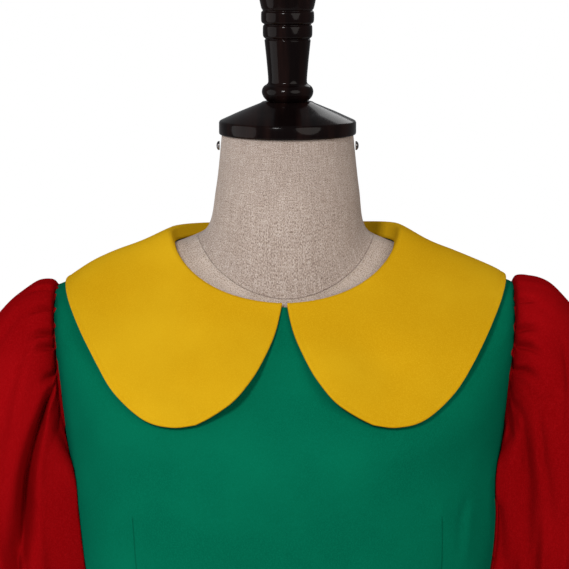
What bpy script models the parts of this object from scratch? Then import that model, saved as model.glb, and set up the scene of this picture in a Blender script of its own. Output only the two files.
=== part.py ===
"""Costume dress on a dress form: a Peter Pan collar, gathered puff sleeves and an A-line body.

Metres, +Z up. The origin is the centre of the stand's underside, the dress faces -Y, and the
wearer's left is +X. The body panels, the collar and the dress form all lie on one family of
rings. A ring is named by its row in a table, and a place on it by its angle: 0 at the wearer's
left side, -90 degrees at the centre front, +90 degrees at the centre back.
"""

import math

import bpy
import numpy as np
from mathutils import Vector
from mathutils.bvhtree import BVHTree

SEAM_GAP = 0.0003
CLOTH = 0.0012
COLLAR_CLOTH = 0.0020
CUFF_CLOTH = 0.0022

FRONT = math.radians(-90)

# Rings that the dress form and the dress share, from the top of the neck to the armhole. The
# neck leans a little to the wearer's left. A small crest makes a sharp shoulder line.
# centre_x, half_width, side_y, side_z, front_y, front_z, back_y, back_z, squareness, crest
UPPER_RINGS = (
    (0.0025, 0.0535, 0.000, 1.4515, -0.0520, 1.4515, 0.0520, 1.4515, 2.0, 0.5),
    (0.0025, 0.0583, 0.001, 1.4080, -0.0560, 1.4000, 0.0555, 1.4160, 2.0, 0.5),
    (0.0015, 0.0657, 0.005, 1.3735, -0.0605, 1.3262, 0.0600, 1.3850, 2.0, 0.3),
    (0.0000, 0.0925, 0.008, 1.3605, -0.0665, 1.3185, 0.0690, 1.3605, 2.0, 0.15),
    (0.0000, 0.1370, 0.012, 1.3500, -0.0900, 1.2860, 0.0880, 1.3260, 2.2, 0.25),
    (0.0000, 0.1810, 0.012, 1.3270, -0.1080, 1.2520, 0.1000, 1.2900, 2.5, 0.5),
    (0.0000, 0.1870, 0.010, 1.2990, -0.1190, 1.2290, 0.1050, 1.2580, 2.6, 1.0),
    (0.0000, 0.1845, 0.006, 1.2500, -0.1290, 1.2080, 0.1060, 1.2240, 2.6, 2.0),
)
# Ease of the dress over the form at each of those rings.
UPPER_EASE = (0.0006, 0.0006, 0.0006, 0.0006, 0.0006, 0.0010, 0.0030, 0.0040)
NECK_TOP_ROW = 0
NECK_X = UPPER_RINGS[NECK_TOP_ROW][0]
NECK_TOP_Z = UPPER_RINGS[NECK_TOP_ROW][3]
NECKLINE_ROW = 3
SHOULDER_TIP_ROW = 5.12
ARMPIT_ROW = 8.05

# Rings of the dress form below the armhole, with the same columns.
FORM_LOWER_RINGS = (
    (0.0, 0.1660, 0.002, 1.1850, -0.1330, 1.1850, 0.1030, 1.1870, 2.4, 2.0),
    (0.0, 0.1480, 0.000, 1.1250, -0.1150, 1.1250, 0.0960, 1.1250, 2.2, 2.0),
    (0.0, 0.1230, 0.000, 1.0400, -0.0960, 1.0400, 0.0900, 1.0400, 2.1, 2.0),
    (0.0, 0.1520, 0.002, 0.9500, -0.1060, 0.9500, 0.1060, 0.9500, 2.1, 2.0),
    (0.0, 0.1700, 0.004, 0.8600, -0.1080, 0.8600, 0.1170, 0.8600, 2.2, 2.0),
    (0.0, 0.1640, 0.004, 0.7600, -0.1020, 0.7600, 0.1120, 0.7600, 2.2, 2.0),
    (0.0, 0.1560, 0.004, 0.7450, -0.0950, 0.7450, 0.1050, 0.7450, 2.2, 2.0),
)

# Rings of the dress below the armhole, on the inside of its cloth.
DRESS_LOWER_RINGS = (
    (0.0003, 0.1815, 0.002, 1.1850, -0.1370, 1.1850, 0.1060, 1.1870, 2.4, 2.0),
    (0.0024, 0.1730, 0.000, 1.1200, -0.1300, 1.1200, 0.1040, 1.1200, 2.2, 2.0),
    (0.0030, 0.1620, 0.000, 1.0400, -0.1210, 1.0400, 0.1010, 1.0400, 2.1, 2.0),
    (0.0015, 0.1710, 0.002, 0.9500, -0.1270, 0.9500, 0.1160, 0.9500, 2.1, 2.0),
    (0.0, 0.1880, 0.004, 0.8600, -0.1390, 0.8600, 0.1340, 0.8600, 2.1, 2.0),
    (0.0, 0.2080, 0.004, 0.7500, -0.1560, 0.7500, 0.1520, 0.7500, 2.1, 2.0),
    (0.0, 0.2260, 0.004, 0.6400, -0.1710, 0.6400, 0.1680, 0.6400, 2.1, 2.0),
    (0.0, 0.2420, 0.004, 0.5300, -0.1850, 0.5300, 0.1830, 0.5300, 2.1, 2.0),
)
ARMHOLE_STEPS = 12
SIDE_STEPS = 10
SHOULDER_ROWS = np.linspace(NECKLINE_ROW, SHOULDER_TIP_ROW, 7)
HEM_ROW = len(UPPER_RINGS) + len(DRESS_LOWER_RINGS) - 1
FORM_BASE_ROW = len(UPPER_RINGS) + len(FORM_LOWER_RINGS) - 1

# How far the armhole's edge stands from the side, in degrees, on the front and on the back.
ARMHOLE_FRONT_DEG = 20.0
ARMHOLE_BACK_DEG = 27.0
# The sleeve starts this share of the armhole's size inside its edge.
ARMHOLE_INSET = 0.982

# Soft ridges that fall from the hips to the hem: angle_deg, half_width_deg, depth_at_hem.
FLUTES = (
    (-164, 11, 0.015),
    (-138, 10, 0.018),
    (-112, 9, 0.014),
    (-83, 10, 0.017),
    (-55, 10, 0.015),
    (-28, 9, 0.019),
    (3, 11, 0.014),
    (30, 10, 0.017),
    (57, 9, 0.015),
    (84, 10, 0.014),
    (110, 10, 0.018),
    (141, 10, 0.015),
    (168, 9, 0.013),
)
FLUTE_START_ROW = 9.6

# The free edge of one collar half: angle from the centre front, and distance from the neckline.
# The front end runs from the neckline to the lobe's front corner, the outer edge on to the back.
COLLAR_FRONT_END = (
    (1.3, 0.0000),
    (3.2, 0.0230),
    (5.9, 0.0460),
    (8.7, 0.0690),
    (12.6, 0.0915),
    (20.5, 0.1140),
)
COLLAR_OUTER_EDGE = (
    (20.5, 0.1140),
    (26.0, 0.1225),
    (32.5, 0.1263),
    (39.7, 0.1195),
    (46.0, 0.1090),
    (53.0, 0.1015),
    (62.8, 0.0953),
    (76.0, 0.0913),
    (92.0, 0.0906),
    (112.0, 0.0925),
    (132.0, 0.0950),
    (150.0, 0.0955),
    (166.0, 0.0905),
)
COLLAR_BACK_END = (
    (179.2, 0.0000),
    (178.4, 0.0300),
    (176.5, 0.0600),
    (172.5, 0.0820),
    (166.0, 0.0905),
)
# Height of the collar's rolled fold over the neckline: angle from the centre front, height.
COLLAR_ROLL = (
    (0, 0.0044),
    (40, 0.0052),
    (65, 0.0072),
    (85, 0.0105),
    (110, 0.0125),
    (140, 0.0138),
    (180, 0.0142),
)
ROLL_RADIUS = 0.0016
# The distance over which the rolled fold sinks to the height at which the collar lies.
ROLL_SETTLES_IN = 0.024
# Room between the collar and the body under it, and under the stand's lower edge.
COLLAR_AIR = 0.0012
STAND_AIR = 0.0002

# Sections of the puff sleeve after the armhole, on the wearer's left.
# outer_x, outer_z, inner_x, inner_z, middle_y, half_depth, head_gather, cuff_gather
SLEEVE_SECTIONS = (
    (0.1915, 1.3310, 0.1790, 1.1780, 0.008, 0.0590, 0.0016, 0.0),
    (0.2060, 1.3290, 0.1780, 1.1700, 0.007, 0.0665, 0.0018, 0.0),
    (0.2260, 1.3165, 0.1750, 1.1570, 0.006, 0.0710, 0.0012, 0.0),
    (0.2475, 1.2900, 0.1710, 1.1430, 0.005, 0.0730, 0.0006, 0.0),
    (0.2650, 1.2520, 0.1660, 1.1290, 0.004, 0.0735, 0.0002, 0.0),
    (0.2755, 1.2070, 0.1590, 1.1150, 0.003, 0.0725, 0.0, 0.0003),
    (0.2790, 1.1590, 0.1540, 1.1010, 0.002, 0.0700, 0.0, 0.0010),
    (0.2740, 1.1170, 0.1520, 1.0870, 0.001, 0.0660, 0.0, 0.0020),
    (0.2640, 1.0830, 0.1550, 1.0730, 0.000, 0.0590, 0.0, 0.0026),
    (0.2540, 1.0600, 0.1640, 1.0590, 0.000, 0.0510, 0.0, 0.0020),
    (0.2500, 1.0480, 0.1690, 1.0480, 0.000, 0.0470, 0.0, 0.0006),
)
# How square the sleeve's section is beside the body, and how much flatter it is there. Both
# fade away over the last sections above the cuff.
SLEEVE_SQUARE = {1: 10.0, -1: 12.0}
SLEEVE_FLATTER = {1: 0.22, -1: 0.22}
SLEEVE_ROUNDS_IN = 3
GATHERS = 12
SLEEVE_COLUMNS = 4 * GATHERS
# Long folds of each sleeve: degrees round it from its top to its front, half width, height.
# A height below 0 is a trough.
SLEEVE_FOLDS = {
    1: (
        (30, 15, 0.004),
        (66, 14, 0.004),
        (111, 9, -0.005),
        (-42, 17, 0.006),
        (-88, 15, 0.007),
        (-112, 9, -0.004),
        (-134, 16, 0.008),
    ),
    -1: (
        (26, 14, 0.004),
        (66, 12, 0.005),
        (98, 9, -0.014),
        (129, 11, 0.004),
        (-36, 16, 0.007),
        (-80, 16, 0.006),
        (-104, 9, -0.004),
        (-128, 15, 0.008),
    ),
}
# The least room between the sleeve and the body where it hangs against it.
SLEEVE_REST_GAP = 0.0015
CUFF_HEIGHT = 0.022
# How far the cuff stands outside the gathered edge of the sleeve.
CUFF_STEP = 0.0006

NECK_CAP_TOP = 1.4785
NECK_CAP_RIM_RADIUS = 0.0558
NECK_CAP_RIM_HEIGHT = 0.0110
SCREW_RADIUS = 0.0037
SCREW_HEIGHT = 0.0026
SCREW_Z = 1.4424
# The neck is this much wider at the screws than at its top, with the seam's gap.
SCREW_SEAT = 0.0018
# The finial's turned outline above the neck cap: radius, height over the cap.
FINIAL_OUTLINE = (
    (0.0165, 0.0000),
    (0.0197, 0.0032),
    (0.0209, 0.0075),
    (0.0197, 0.0115),
    (0.0164, 0.0140),
    (0.0156, 0.0170),
    (0.0170, 0.0330),
    (0.0188, 0.0492),
    (0.0180, 0.0506),
    (0.0200, 0.0526),
    (0.0200, 0.0608),
    (0.0190, 0.0622),
    (0.0214, 0.0642),
    (0.0214, 0.0720),
    (0.0202, 0.0734),
    (0.0213, 0.0754),
    (0.0234, 0.0850),
    (0.0248, 0.0990),
    (0.0230, 0.1110),
    (0.0166, 0.1190),
    (0.0085, 0.1225),
    (0.0078, 0.1255),
    (0.0102, 0.1305),
    (0.0082, 0.1360),
    (0.0, 0.1385),
)
# The stand's foot: radius, height over the floor.
STAND_OUTLINE = (
    (0.0, 0.0),
    (0.1960, 0.0),
    (0.2000, 0.0040),
    (0.1980, 0.0090),
    (0.1800, 0.0120),
    (0.0500, 0.0165),
    (0.0330, 0.0230),
    (0.0270, 0.0400),
    (0.0250, 0.0600),
    (0.0, 0.0600),
)
POLE_RADIUS = 0.0160

COLOURS = {
    # slot: red, green, blue, roughness, metallic
    "green_cloth": (0.004, 0.115, 0.060, 0.75, 0.0),
    "yellow_cloth": (0.720, 0.440, 0.020, 0.70, 0.0),
    "red_cloth": (0.300, 0.002, 0.004, 0.75, 0.0),
    "linen": (0.480, 0.410, 0.350, 0.90, 0.0),
    "dark_wood": (0.012, 0.006, 0.006, 0.20, 0.0),
    "steel": (0.350, 0.340, 0.330, 0.30, 1.0),
}


def clear_scene():
    for obj in list(bpy.data.objects):
        bpy.data.objects.remove(obj, do_unlink=True)


def material(slot):
    made = bpy.data.materials.get(slot)
    if made is None:
        red, green, blue, roughness, metallic = COLOURS[slot]
        made = bpy.data.materials.new(slot)
        made.use_nodes = True
        shader = made.node_tree.nodes["Principled BSDF"]
        shader.inputs["Base Color"].default_value = (red, green, blue, 1.0)
        shader.inputs["Roughness"].default_value = roughness
        shader.inputs["Metallic"].default_value = metallic
    return made


def add_object(name, points, faces, slot, parent):
    mesh = bpy.data.meshes.new(name)
    mesh.from_pydata([tuple(point) for point in points], [], faces)
    mesh.validate()
    mesh.shade_smooth()
    mesh.set_sharp_from_angle(angle=math.radians(40))
    mesh.materials.append(material(slot))
    obj = bpy.data.objects.new(name, mesh)
    bpy.context.scene.collection.objects.link(obj)
    obj.parent = parent
    return obj


def read_table(table, row):
    """A table's values at a row that needn't be whole, on a smooth curve through its rows."""
    table = np.asarray(table, float)
    row = np.asarray(row, float)
    last = len(table) - 1
    start = np.clip(np.floor(row).astype(int), 0, last - 1)
    share = (row - start)[..., None]
    before = table[np.maximum(start - 1, 0)]
    low, high = table[start], table[start + 1]
    after = table[np.minimum(start + 2, last)]
    slope_low, slope_high = (high - before) / 2, (after - low) / 2
    return (
        low
        + share * slope_low
        + share**2 * (3 * (high - low) - 2 * slope_low - slope_high)
        + share**3 * (2 * (low - high) + slope_low + slope_high)
    )


def read_curve(pairs, steps):
    """Points evenly spread by number along a smooth curve through a short list of points."""
    return read_table(pairs, np.linspace(0, len(pairs) - 1, steps))


def look_up(pairs, value):
    """The second column of a table where its first column has this value."""
    table = np.asarray(pairs, float)
    return np.interp(value, table[:, 0], table[:, 1])


def ring_point(rings, row, angle):
    """The point at an angle on a ring, for arrays of rows and angles."""
    columns = np.moveaxis(read_table(rings, row), -1, 0)
    centre_x, half_width, side_y, side_z, front_y, front_z, back_y, back_z, square, crest = columns
    across, along = np.cos(angle), np.sin(angle)
    reach = (np.abs(across) ** square + np.abs(along) ** square) ** (-1 / square)
    end_y = np.where(along < 0, front_y, back_y)
    end_z = np.where(along < 0, front_z, back_z)
    share = np.abs(along) * reach
    fall = (np.hypot(share, crest) - crest) / (np.hypot(1, crest) - crest)
    x = centre_x + half_width * across * reach
    y = side_y + (end_y - side_y) * share
    z = side_z + (end_z - side_z) * fall
    return np.stack([x, y, z], axis=-1)


def unit(vectors):
    return vectors / np.linalg.norm(vectors, axis=-1, keepdims=True)


# What one unit of ease adds to each column of a ring.
EASE_COLUMNS = np.array([0, 1, 0, 1, -1, 1, 1, 1, 0, 0])
FORM_RINGS = np.array(UPPER_RINGS + FORM_LOWER_RINGS)
DRESS_RINGS = np.concatenate(
    [np.array(UPPER_RINGS) + np.outer(UPPER_EASE, EASE_COLUMNS), DRESS_LOWER_RINGS]
)


def turn_between(angle, middle):
    """The signed turn from one angle to another, in degrees from -180 to 180."""
    return (np.degrees(angle) - middle + 180) % 360 - 180


def flute_height(row, angle):
    """How far the skirt's ridges stand out at each point."""
    fall = np.clip((row - FLUTE_START_ROW) / (HEM_ROW - FLUTE_START_ROW), 0, 1) ** 1.3
    total = np.zeros(np.broadcast(row, angle).shape)
    for middle, half_width, depth in FLUTES:
        total += depth * np.exp(-((turn_between(angle, middle) / half_width) ** 2))
    return total * fall


def dress_point(row, angle, height=0.0):
    """A point on the inside of the dress's cloth, or this high over it."""
    row, angle = np.broadcast_arrays(np.asarray(row, float), np.asarray(angle, float))
    step = 0.01
    row_step = ring_point(DRESS_RINGS, row + step, angle) - ring_point(
        DRESS_RINGS, row - step, angle
    )
    angle_step = ring_point(DRESS_RINGS, row, angle + step) - ring_point(
        DRESS_RINGS, row, angle - step
    )
    outward = unit(np.cross(row_step, angle_step))
    lift = np.asarray(height, float) + flute_height(row, angle)
    return ring_point(DRESS_RINGS, row, angle) + outward * lift[..., None]


def quads(rows, columns, wrap):
    """The corner numbers of a grid's cells, row by row."""
    for row in range(rows - 1):
        for column in range(columns if wrap else columns - 1):
            beside = (column + 1) % columns
            low, high = row * columns, (row + 1) * columns
            yield low + column, low + beside, high + beside, high + column


def wall(name, outer, inner, slot, parent, wrap=False):
    """A closed wall between two grids of the same size. Wrap joins its last column to its first."""
    rows, columns = outer.shape[:2]
    count = rows * columns
    points = np.concatenate([outer.reshape(-1, 3), inner.reshape(-1, 3)])
    faces = []
    for a, b, c, d in quads(rows, columns, wrap):
        faces += [(a, b, c), (a, c, d)]
        faces += [(count + a, count + c, count + b), (count + a, count + d, count + c)]
    top = list(range(columns))
    bottom = [(rows - 1) * columns + column for column in range(columns)]
    left = [row * columns for row in range(rows)]
    right = [row * columns + columns - 1 for row in range(rows)]
    edges = [(top, True), (bottom, False)]
    if not wrap:
        edges += [(left, False), (right, True)]
    for edge, forward in edges:
        pairs = list(zip(edge, edge[1:]))
        if wrap:
            pairs.append((edge[-1], edge[0]))
        for a, b in pairs:
            if not forward:
                a, b = b, a
            faces += [(a, count + a, count + b), (a, count + b, b)]
    return add_object(name, facing_out(points, faces), faces, slot, parent)


def facing_out(points, faces):
    """Turns every face round, in place, if the closed shape would be inside out."""
    corners = points[np.asarray(faces)]
    if np.linalg.det(corners - points.mean(axis=0)).sum() < 0:
        faces[:] = [face[::-1] for face in faces]
    return points


def grid_outward(grid, wrap):
    """Each grid point's unit normal, from its neighbours."""
    down = np.gradient(grid, axis=0)
    if wrap:
        across = np.roll(grid, -1, axis=1) - np.roll(grid, 1, axis=1)
    else:
        across = np.gradient(grid, axis=1)
    return unit(np.cross(down, across))


def body_rows():
    """Rows of a body panel with how far its armhole opens: shoulder, armhole, then side seam."""
    shoulder = [(row, 0.0) for row in SHOULDER_ROWS]
    middle = (SHOULDER_TIP_ROW + ARMPIT_ROW) / 2
    half = (ARMPIT_ROW - SHOULDER_TIP_ROW) / 2
    turns = np.linspace(0, math.pi, ARMHOLE_STEPS + 1)
    armhole = [(middle - half * math.cos(turn), math.sin(turn)) for turn in turns[1:]]
    side = [(row, 0.0) for row in np.linspace(ARMPIT_ROW, HEM_ROW, SIDE_STEPS + 1)[1:]]
    return shoulder + armhole + side


def seam_turn(row, seam_deg):
    """Half a seam's gap as degrees round the ring at this row."""
    angle = math.radians(seam_deg)
    step = 0.01
    chord = dress_point(row, angle + step) - dress_point(row, angle - step)
    return math.degrees(SEAM_GAP * step / np.linalg.norm(chord))


def body_panel(name, first_deg, last_deg, first_open, last_open, columns, parent):
    """A wall of the dress's body between two seams, cut away for the armhole where a seam has one."""
    rows = body_rows()
    grid_row = np.zeros((len(rows), columns))
    grid_angle = np.zeros((len(rows), columns))
    for index, (row, opening) in enumerate(rows):
        first = first_deg + seam_turn(row, first_deg) + opening * first_open
        last = last_deg - seam_turn(row, last_deg) - opening * last_open
        grid_row[index] = row
        grid_angle[index] = np.radians(np.linspace(first, last, columns))
    inner = dress_point(grid_row, grid_angle)
    outer = dress_point(grid_row, grid_angle, CLOTH)
    return wall(name, outer, inner, "green_cloth", parent)


def row_down_from_neckline(angle, distance):
    """The row whose ring crosses a meridian at this distance from the neckline, upward if negative."""
    rows = np.linspace(NECKLINE_ROW - 0.9, ARMPIT_ROW + 1, 300)
    line = dress_point(rows, np.full(rows.shape, angle), CLOTH)
    lengths = np.linalg.norm(np.diff(line, axis=0), axis=1)
    travelled = np.concatenate([[0.0], np.cumsum(lengths)])
    travelled -= np.interp(NECKLINE_ROW, rows, travelled)
    return np.interp(distance, travelled, rows)


def collar_plan(columns, fall_rows):
    """Angles from the centre front and distances from the neckline, over the collar's fall."""
    along = np.linspace(0, 1, columns)
    down = np.linspace(0, 1, fall_rows)
    front = read_curve(COLLAR_FRONT_END, fall_rows)
    back = read_curve(COLLAR_BACK_END, fall_rows)
    outer = read_curve(COLLAR_OUTER_EDGE, columns)
    neckline = np.stack(
        [np.linspace(front[0, 0], back[0, 0], columns), np.zeros(columns)], axis=-1
    )
    across, fall = along[None, :, None], down[:, None, None]
    sides = (1 - across) * front[:, None] + across * back[:, None]
    ends = (1 - fall) * neckline[None] + fall * outer[None]
    corners = (1 - fall) * ((1 - across) * front[0] + across * back[0]) + fall * (
        (1 - across) * front[-1] + across * back[-1]
    )
    return sides + ends - corners


def collar_half(name, side, parent, columns=26, fall_rows=8):
    """One half of the collar: it stands up from the neckline, rolls over and lies on the body."""
    plan = collar_plan(columns, fall_rows)
    from_front = np.concatenate([np.repeat(plan[:1, :, 0], 3, axis=0), plan[:, :, 0]])
    roll = look_up(COLLAR_ROLL, from_front)
    half = COLLAR_CLOTH / 2
    lying = CLOTH + COLLAR_AIR + half
    crest = roll - half
    distance = np.zeros(from_front.shape)
    height = np.zeros(from_front.shape)
    distance[0] = distance[1] = -ROLL_RADIUS
    distance[2] = -ROLL_RADIUS * math.sqrt(0.5)
    height[0] = STAND_AIR
    height[1] = crest[1] - ROLL_RADIUS
    height[2] = crest[2] - ROLL_RADIUS * (1 - math.sqrt(0.5))
    distance[3:] = plan[:, :, 1]
    settle = np.exp(-((distance[3:] / ROLL_SETTLES_IN) ** 2))
    height[3:] = lying + (crest[3:] - lying) * settle
    angle = FRONT + side * np.radians(from_front)
    row = np.zeros(angle.shape)
    for place in np.ndindex(angle.shape):
        row[place] = row_down_from_neckline(angle[place], distance[place])
    middle = dress_point(row, angle, height)
    outward = side * grid_outward(middle, wrap=False)
    return wall(
        name, middle + half * outward, middle - half * outward, "yellow_cloth", parent
    )


def body_shell():
    """The outside of the dress's body, on its panels' rows, as one surface that a ray can find."""
    rows = np.array([row for row, _ in body_rows()])
    angles = np.linspace(0, 2 * math.pi, 120, endpoint=False)
    grid = dress_point(rows[:, None], angles[None], CLOTH)
    points = [tuple(point) for point in grid.reshape(-1, 3)]
    return BVHTree.FromPolygons(points, list(quads(len(rows), len(angles), wrap=True)))


def hang_against(ring, side, shell):
    """Moves the ring's points sideways, in place, to where they clear the body."""
    for point in ring:
        start = Vector((side * 0.5, point[1], point[2]))
        hit = shell.ray_cast(start, Vector((-side, 0, 0)))[0]
        if hit is not None:
            point[0] = side * max(side * point[0], side * hit.x + SLEEVE_REST_GAP)


def armhole_ring(turn, side, inset):
    """The armhole's edge on the outside of the cloth. Turn is 0 at the shoulder, 90 in front."""
    middle = (SHOULDER_TIP_ROW + ARMPIT_ROW) / 2
    half = (ARMPIT_ROW - SHOULDER_TIP_ROW) / 2
    front = np.where(np.sin(turn) > 0, ARMHOLE_FRONT_DEG, ARMHOLE_BACK_DEG)
    row = middle - half * inset * np.cos(turn)
    angle = -np.radians(front * inset) * np.sin(turn)
    points = dress_point(row, angle, CLOTH)
    points[..., 0] *= side
    return points


def sleeve_grid(side, columns):
    """The outside of a puff sleeve, ring by ring from the armhole to the cuff."""
    turn = np.linspace(0, 2 * math.pi, columns, endpoint=False)
    shell = body_shell()
    rings = [armhole_ring(turn, side, ARMHOLE_INSET)]
    upper = 0.35 + 0.65 * np.sin(turn) ** 2
    for index, section in enumerate(SLEEVE_SECTIONS):
        outer_x, outer_z, inner_x, inner_z, middle_y, depth, head, cuff = section
        share = index / (len(SLEEVE_SECTIONS) - 1)
        centre = np.array([(outer_x + inner_x) / 2, middle_y, (outer_z + inner_z) / 2])
        up = np.array([(outer_x - inner_x) / 2, 0, (outer_z - inner_z) / 2])
        forward = np.array([0, -depth, 0])
        swell = (head * upper + cuff) * np.cos(GATHERS * turn)
        for middle, half_width, height in SLEEVE_FOLDS[side]:
            bump = np.exp(-((turn_between(turn, middle) / half_width) ** 2))
            swell = swell + height * math.sin(math.pi * share) * bump
        outward = np.cos(turn)[:, None] * unit(up) + np.sin(turn)[:, None] * unit(
            forward
        )
        across, along = np.cos(turn), np.sin(turn)
        fade = min(1.0, (len(SLEEVE_SECTIONS) - 1 - index) / SLEEVE_ROUNDS_IN)
        square = np.where(across < 0, 2 + (SLEEVE_SQUARE[side] - 2) * fade, 2.0)
        reach = (np.abs(across) ** square + np.abs(along) ** square) ** (-1 / square)
        inward = np.clip(-across * reach, 0, 1)
        flatter = 1 - SLEEVE_FLATTER[side] * fade * inward**2
        ring = (
            centre
            + (across * reach)[:, None] * up
            + (along * reach * flatter)[:, None] * forward
            + outward * swell[:, None]
        )
        ring[:, 0] *= side
        hang_against(ring, side, shell)
        rings.append(ring)
    return np.array(rings)


def sleeve(name, side, parent):
    outer = sleeve_grid(side, SLEEVE_COLUMNS)
    outward = -side * grid_outward(outer, wrap=True)
    inner = outer - CLOTH * outward
    return wall(name, outer, inner, "red_cloth", parent, wrap=True)


def cuff(name, side, parent, columns=28):
    """The band that the sleeve is gathered into."""
    outer_x, top_z, inner_x, _, middle_y, depth, _, _ = SLEEVE_SECTIONS[-1]
    turn = np.linspace(0, 2 * math.pi, columns, endpoint=False)
    half_width = (outer_x - inner_x) / 2
    levels = np.array([0.0, 0.5, 1.0])
    grids = []
    for inset in (0.0, CUFF_CLOTH):
        grid = np.zeros((len(levels), columns, 3))
        grid[..., 0] = side * (
            (outer_x + inner_x) / 2 + (half_width + CUFF_STEP - inset) * np.cos(turn)
        )
        grid[..., 1] = middle_y - (depth + CUFF_STEP - inset) * np.sin(turn)
        grid[..., 2] = (top_z - SEAM_GAP - CUFF_HEIGHT * levels)[:, None]
        grids.append(grid)
    return wall(name, grids[0], grids[1], "red_cloth", parent, wrap=True)


def dress_form(name, parent, columns=48):
    """The linen torso with its neck, one closed solid."""
    rows = np.concatenate(
        [
            np.linspace(0, NECKLINE_ROW, 6)[:-1],
            SHOULDER_ROWS,
            np.linspace(SHOULDER_TIP_ROW, FORM_BASE_ROW - 1, 11)[1:],
            [FORM_BASE_ROW],
        ]
    )
    angle = np.linspace(0, 2 * math.pi, columns, endpoint=False)
    grid = ring_point(FORM_RINGS, rows[:, None], angle[None])
    points = grid.reshape(-1, 3)
    faces = []
    for a, b, c, d in quads(len(rows), columns, wrap=True):
        faces += [(a, b, c), (a, c, d)]
    last = (len(rows) - 1) * columns
    for column in range(1, columns - 1):
        faces.append((0, column + 1, column))
        faces.append((last, last + column, last + column + 1))
    return add_object(name, facing_out(points, faces), faces, "linen", parent)


def turned(name, outline, base_z, slot, parent, steps=24):
    """A lathe-turned piece on the stand's axis."""
    points = []
    faces = []
    rings = []
    for radius, height in outline:
        count = steps if radius else 1
        rings.append(list(range(len(points), len(points) + count)))
        for step in range(count):
            turn = 2 * math.pi * step / steps
            points.append(
                (radius * math.cos(turn), radius * math.sin(turn), base_z + height)
            )
    for low, high in zip(rings, rings[1:]):
        for step in range(steps):
            beside = (step + 1) % steps
            if len(low) == 1:
                faces.append((low[0], high[beside], high[step]))
            elif len(high) == 1:
                faces.append((low[step], low[beside], high[0]))
            else:
                faces.append((low[step], low[beside], high[beside], high[step]))
    if len(rings[0]) > 1:
        faces.append(tuple(reversed(rings[0])))
    if len(rings[-1]) > 1:
        faces.append(tuple(rings[-1]))
    return add_object(name, np.array(points), faces, slot, parent)


def neck_cap_outline():
    radius = NECK_CAP_RIM_RADIUS
    top = NECK_CAP_TOP - NECK_TOP_Z - SEAM_GAP
    return (
        (radius - 0.0008, 0.0),
        (radius, 0.0010),
        (radius, NECK_CAP_RIM_HEIGHT - 0.0010),
        (radius - 0.0012, NECK_CAP_RIM_HEIGHT),
        (0.0215, top - 0.0012),
        (0.0200, top),
    )


def neck_screw(name, side, parent):
    """A small domed screw on the side of the neck, under the cap."""
    dome = (
        (SCREW_RADIUS, 0.0),
        (SCREW_RADIUS, 0.0008),
        (SCREW_RADIUS * 0.75, SCREW_HEIGHT * 0.75),
        (0.0, SCREW_HEIGHT),
    )
    screw = turned(name, dome, 0.0, "steel", parent, steps=12)
    seat = UPPER_RINGS[NECK_TOP_ROW][1] + SCREW_SEAT
    screw.rotation_euler = (0, side * math.pi / 2, 0)
    screw.location = (NECK_X + side * seat, 0.0, SCREW_Z)
    return screw


def pole(name, parent):
    low = STAND_OUTLINE[-1][1] + SEAM_GAP
    high = FORM_LOWER_RINGS[-1][3] - SEAM_GAP
    outline = ((POLE_RADIUS, 0.0), (POLE_RADIUS, high - low))
    return turned(name, outline, low, "dark_wood", parent)


def build():
    clear_scene()
    whole = bpy.data.objects.new("costume_dress_on_dress_form", None)
    bpy.context.scene.collection.objects.link(whole)

    body_panel("dress_front", -180, 0, ARMHOLE_FRONT_DEG, ARMHOLE_FRONT_DEG, 25, whole)
    body_panel("dress_back_left", 0, 90, ARMHOLE_BACK_DEG, 0, 13, whole)
    body_panel("dress_back_right", 90, 180, 0, ARMHOLE_BACK_DEG, 13, whole)
    for side, word in ((1, "left"), (-1, "right")):
        collar_half(f"collar_{word}", side, whole)
        sleeve(f"sleeve_{word}", side, whole)
        cuff(f"cuff_{word}", side, whole)
        neck_screw(f"neck_screw_{word}", side, whole)

    dress_form("form_torso", whole)
    cap = turned("neck_cap", neck_cap_outline(), NECK_TOP_Z + SEAM_GAP, "dark_wood", whole)
    top = turned("finial", FINIAL_OUTLINE, NECK_CAP_TOP + SEAM_GAP, "dark_wood", whole)
    cap.location.x = top.location.x = NECK_X
    turned("stand_foot", STAND_OUTLINE, 0.0, "dark_wood", whole)
    pole("stand_pole", whole)


build()
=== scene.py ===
"""The costume dress on its dress form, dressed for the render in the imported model's own frame.

Metres, +Z up, the dress faces -Y and the wearer's left is +X. Body, collar and form lie on one
family of rings, as in the part's source, here on finer grids with creases, gathers and seams.
"""

import math

import bpy
import numpy as np
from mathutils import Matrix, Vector
from mathutils.bvhtree import BVHTree

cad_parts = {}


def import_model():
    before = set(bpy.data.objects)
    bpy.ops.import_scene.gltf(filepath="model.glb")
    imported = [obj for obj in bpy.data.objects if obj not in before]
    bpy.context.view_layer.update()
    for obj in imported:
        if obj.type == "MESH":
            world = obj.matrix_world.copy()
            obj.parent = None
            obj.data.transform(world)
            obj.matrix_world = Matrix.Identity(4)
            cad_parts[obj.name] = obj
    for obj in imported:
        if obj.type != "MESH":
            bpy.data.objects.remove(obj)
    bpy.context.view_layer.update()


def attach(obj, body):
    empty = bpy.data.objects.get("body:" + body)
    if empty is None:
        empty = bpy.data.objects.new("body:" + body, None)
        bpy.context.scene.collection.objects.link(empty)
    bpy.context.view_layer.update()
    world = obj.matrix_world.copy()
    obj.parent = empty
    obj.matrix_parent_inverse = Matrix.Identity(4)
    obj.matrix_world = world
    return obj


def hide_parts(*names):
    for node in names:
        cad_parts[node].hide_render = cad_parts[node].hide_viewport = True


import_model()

SEAM_GAP = 0.0003
# The panels' edges meet this closely, so no light shows through a seam.
PANEL_GAP = 0.00004
CLOTH = 0.0012
COLLAR_CLOTH = 0.0020
CUFF_CLOTH = 0.0022
HEM_DEPTH = 0.0245
HEM_STITCH = 0.022
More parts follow.
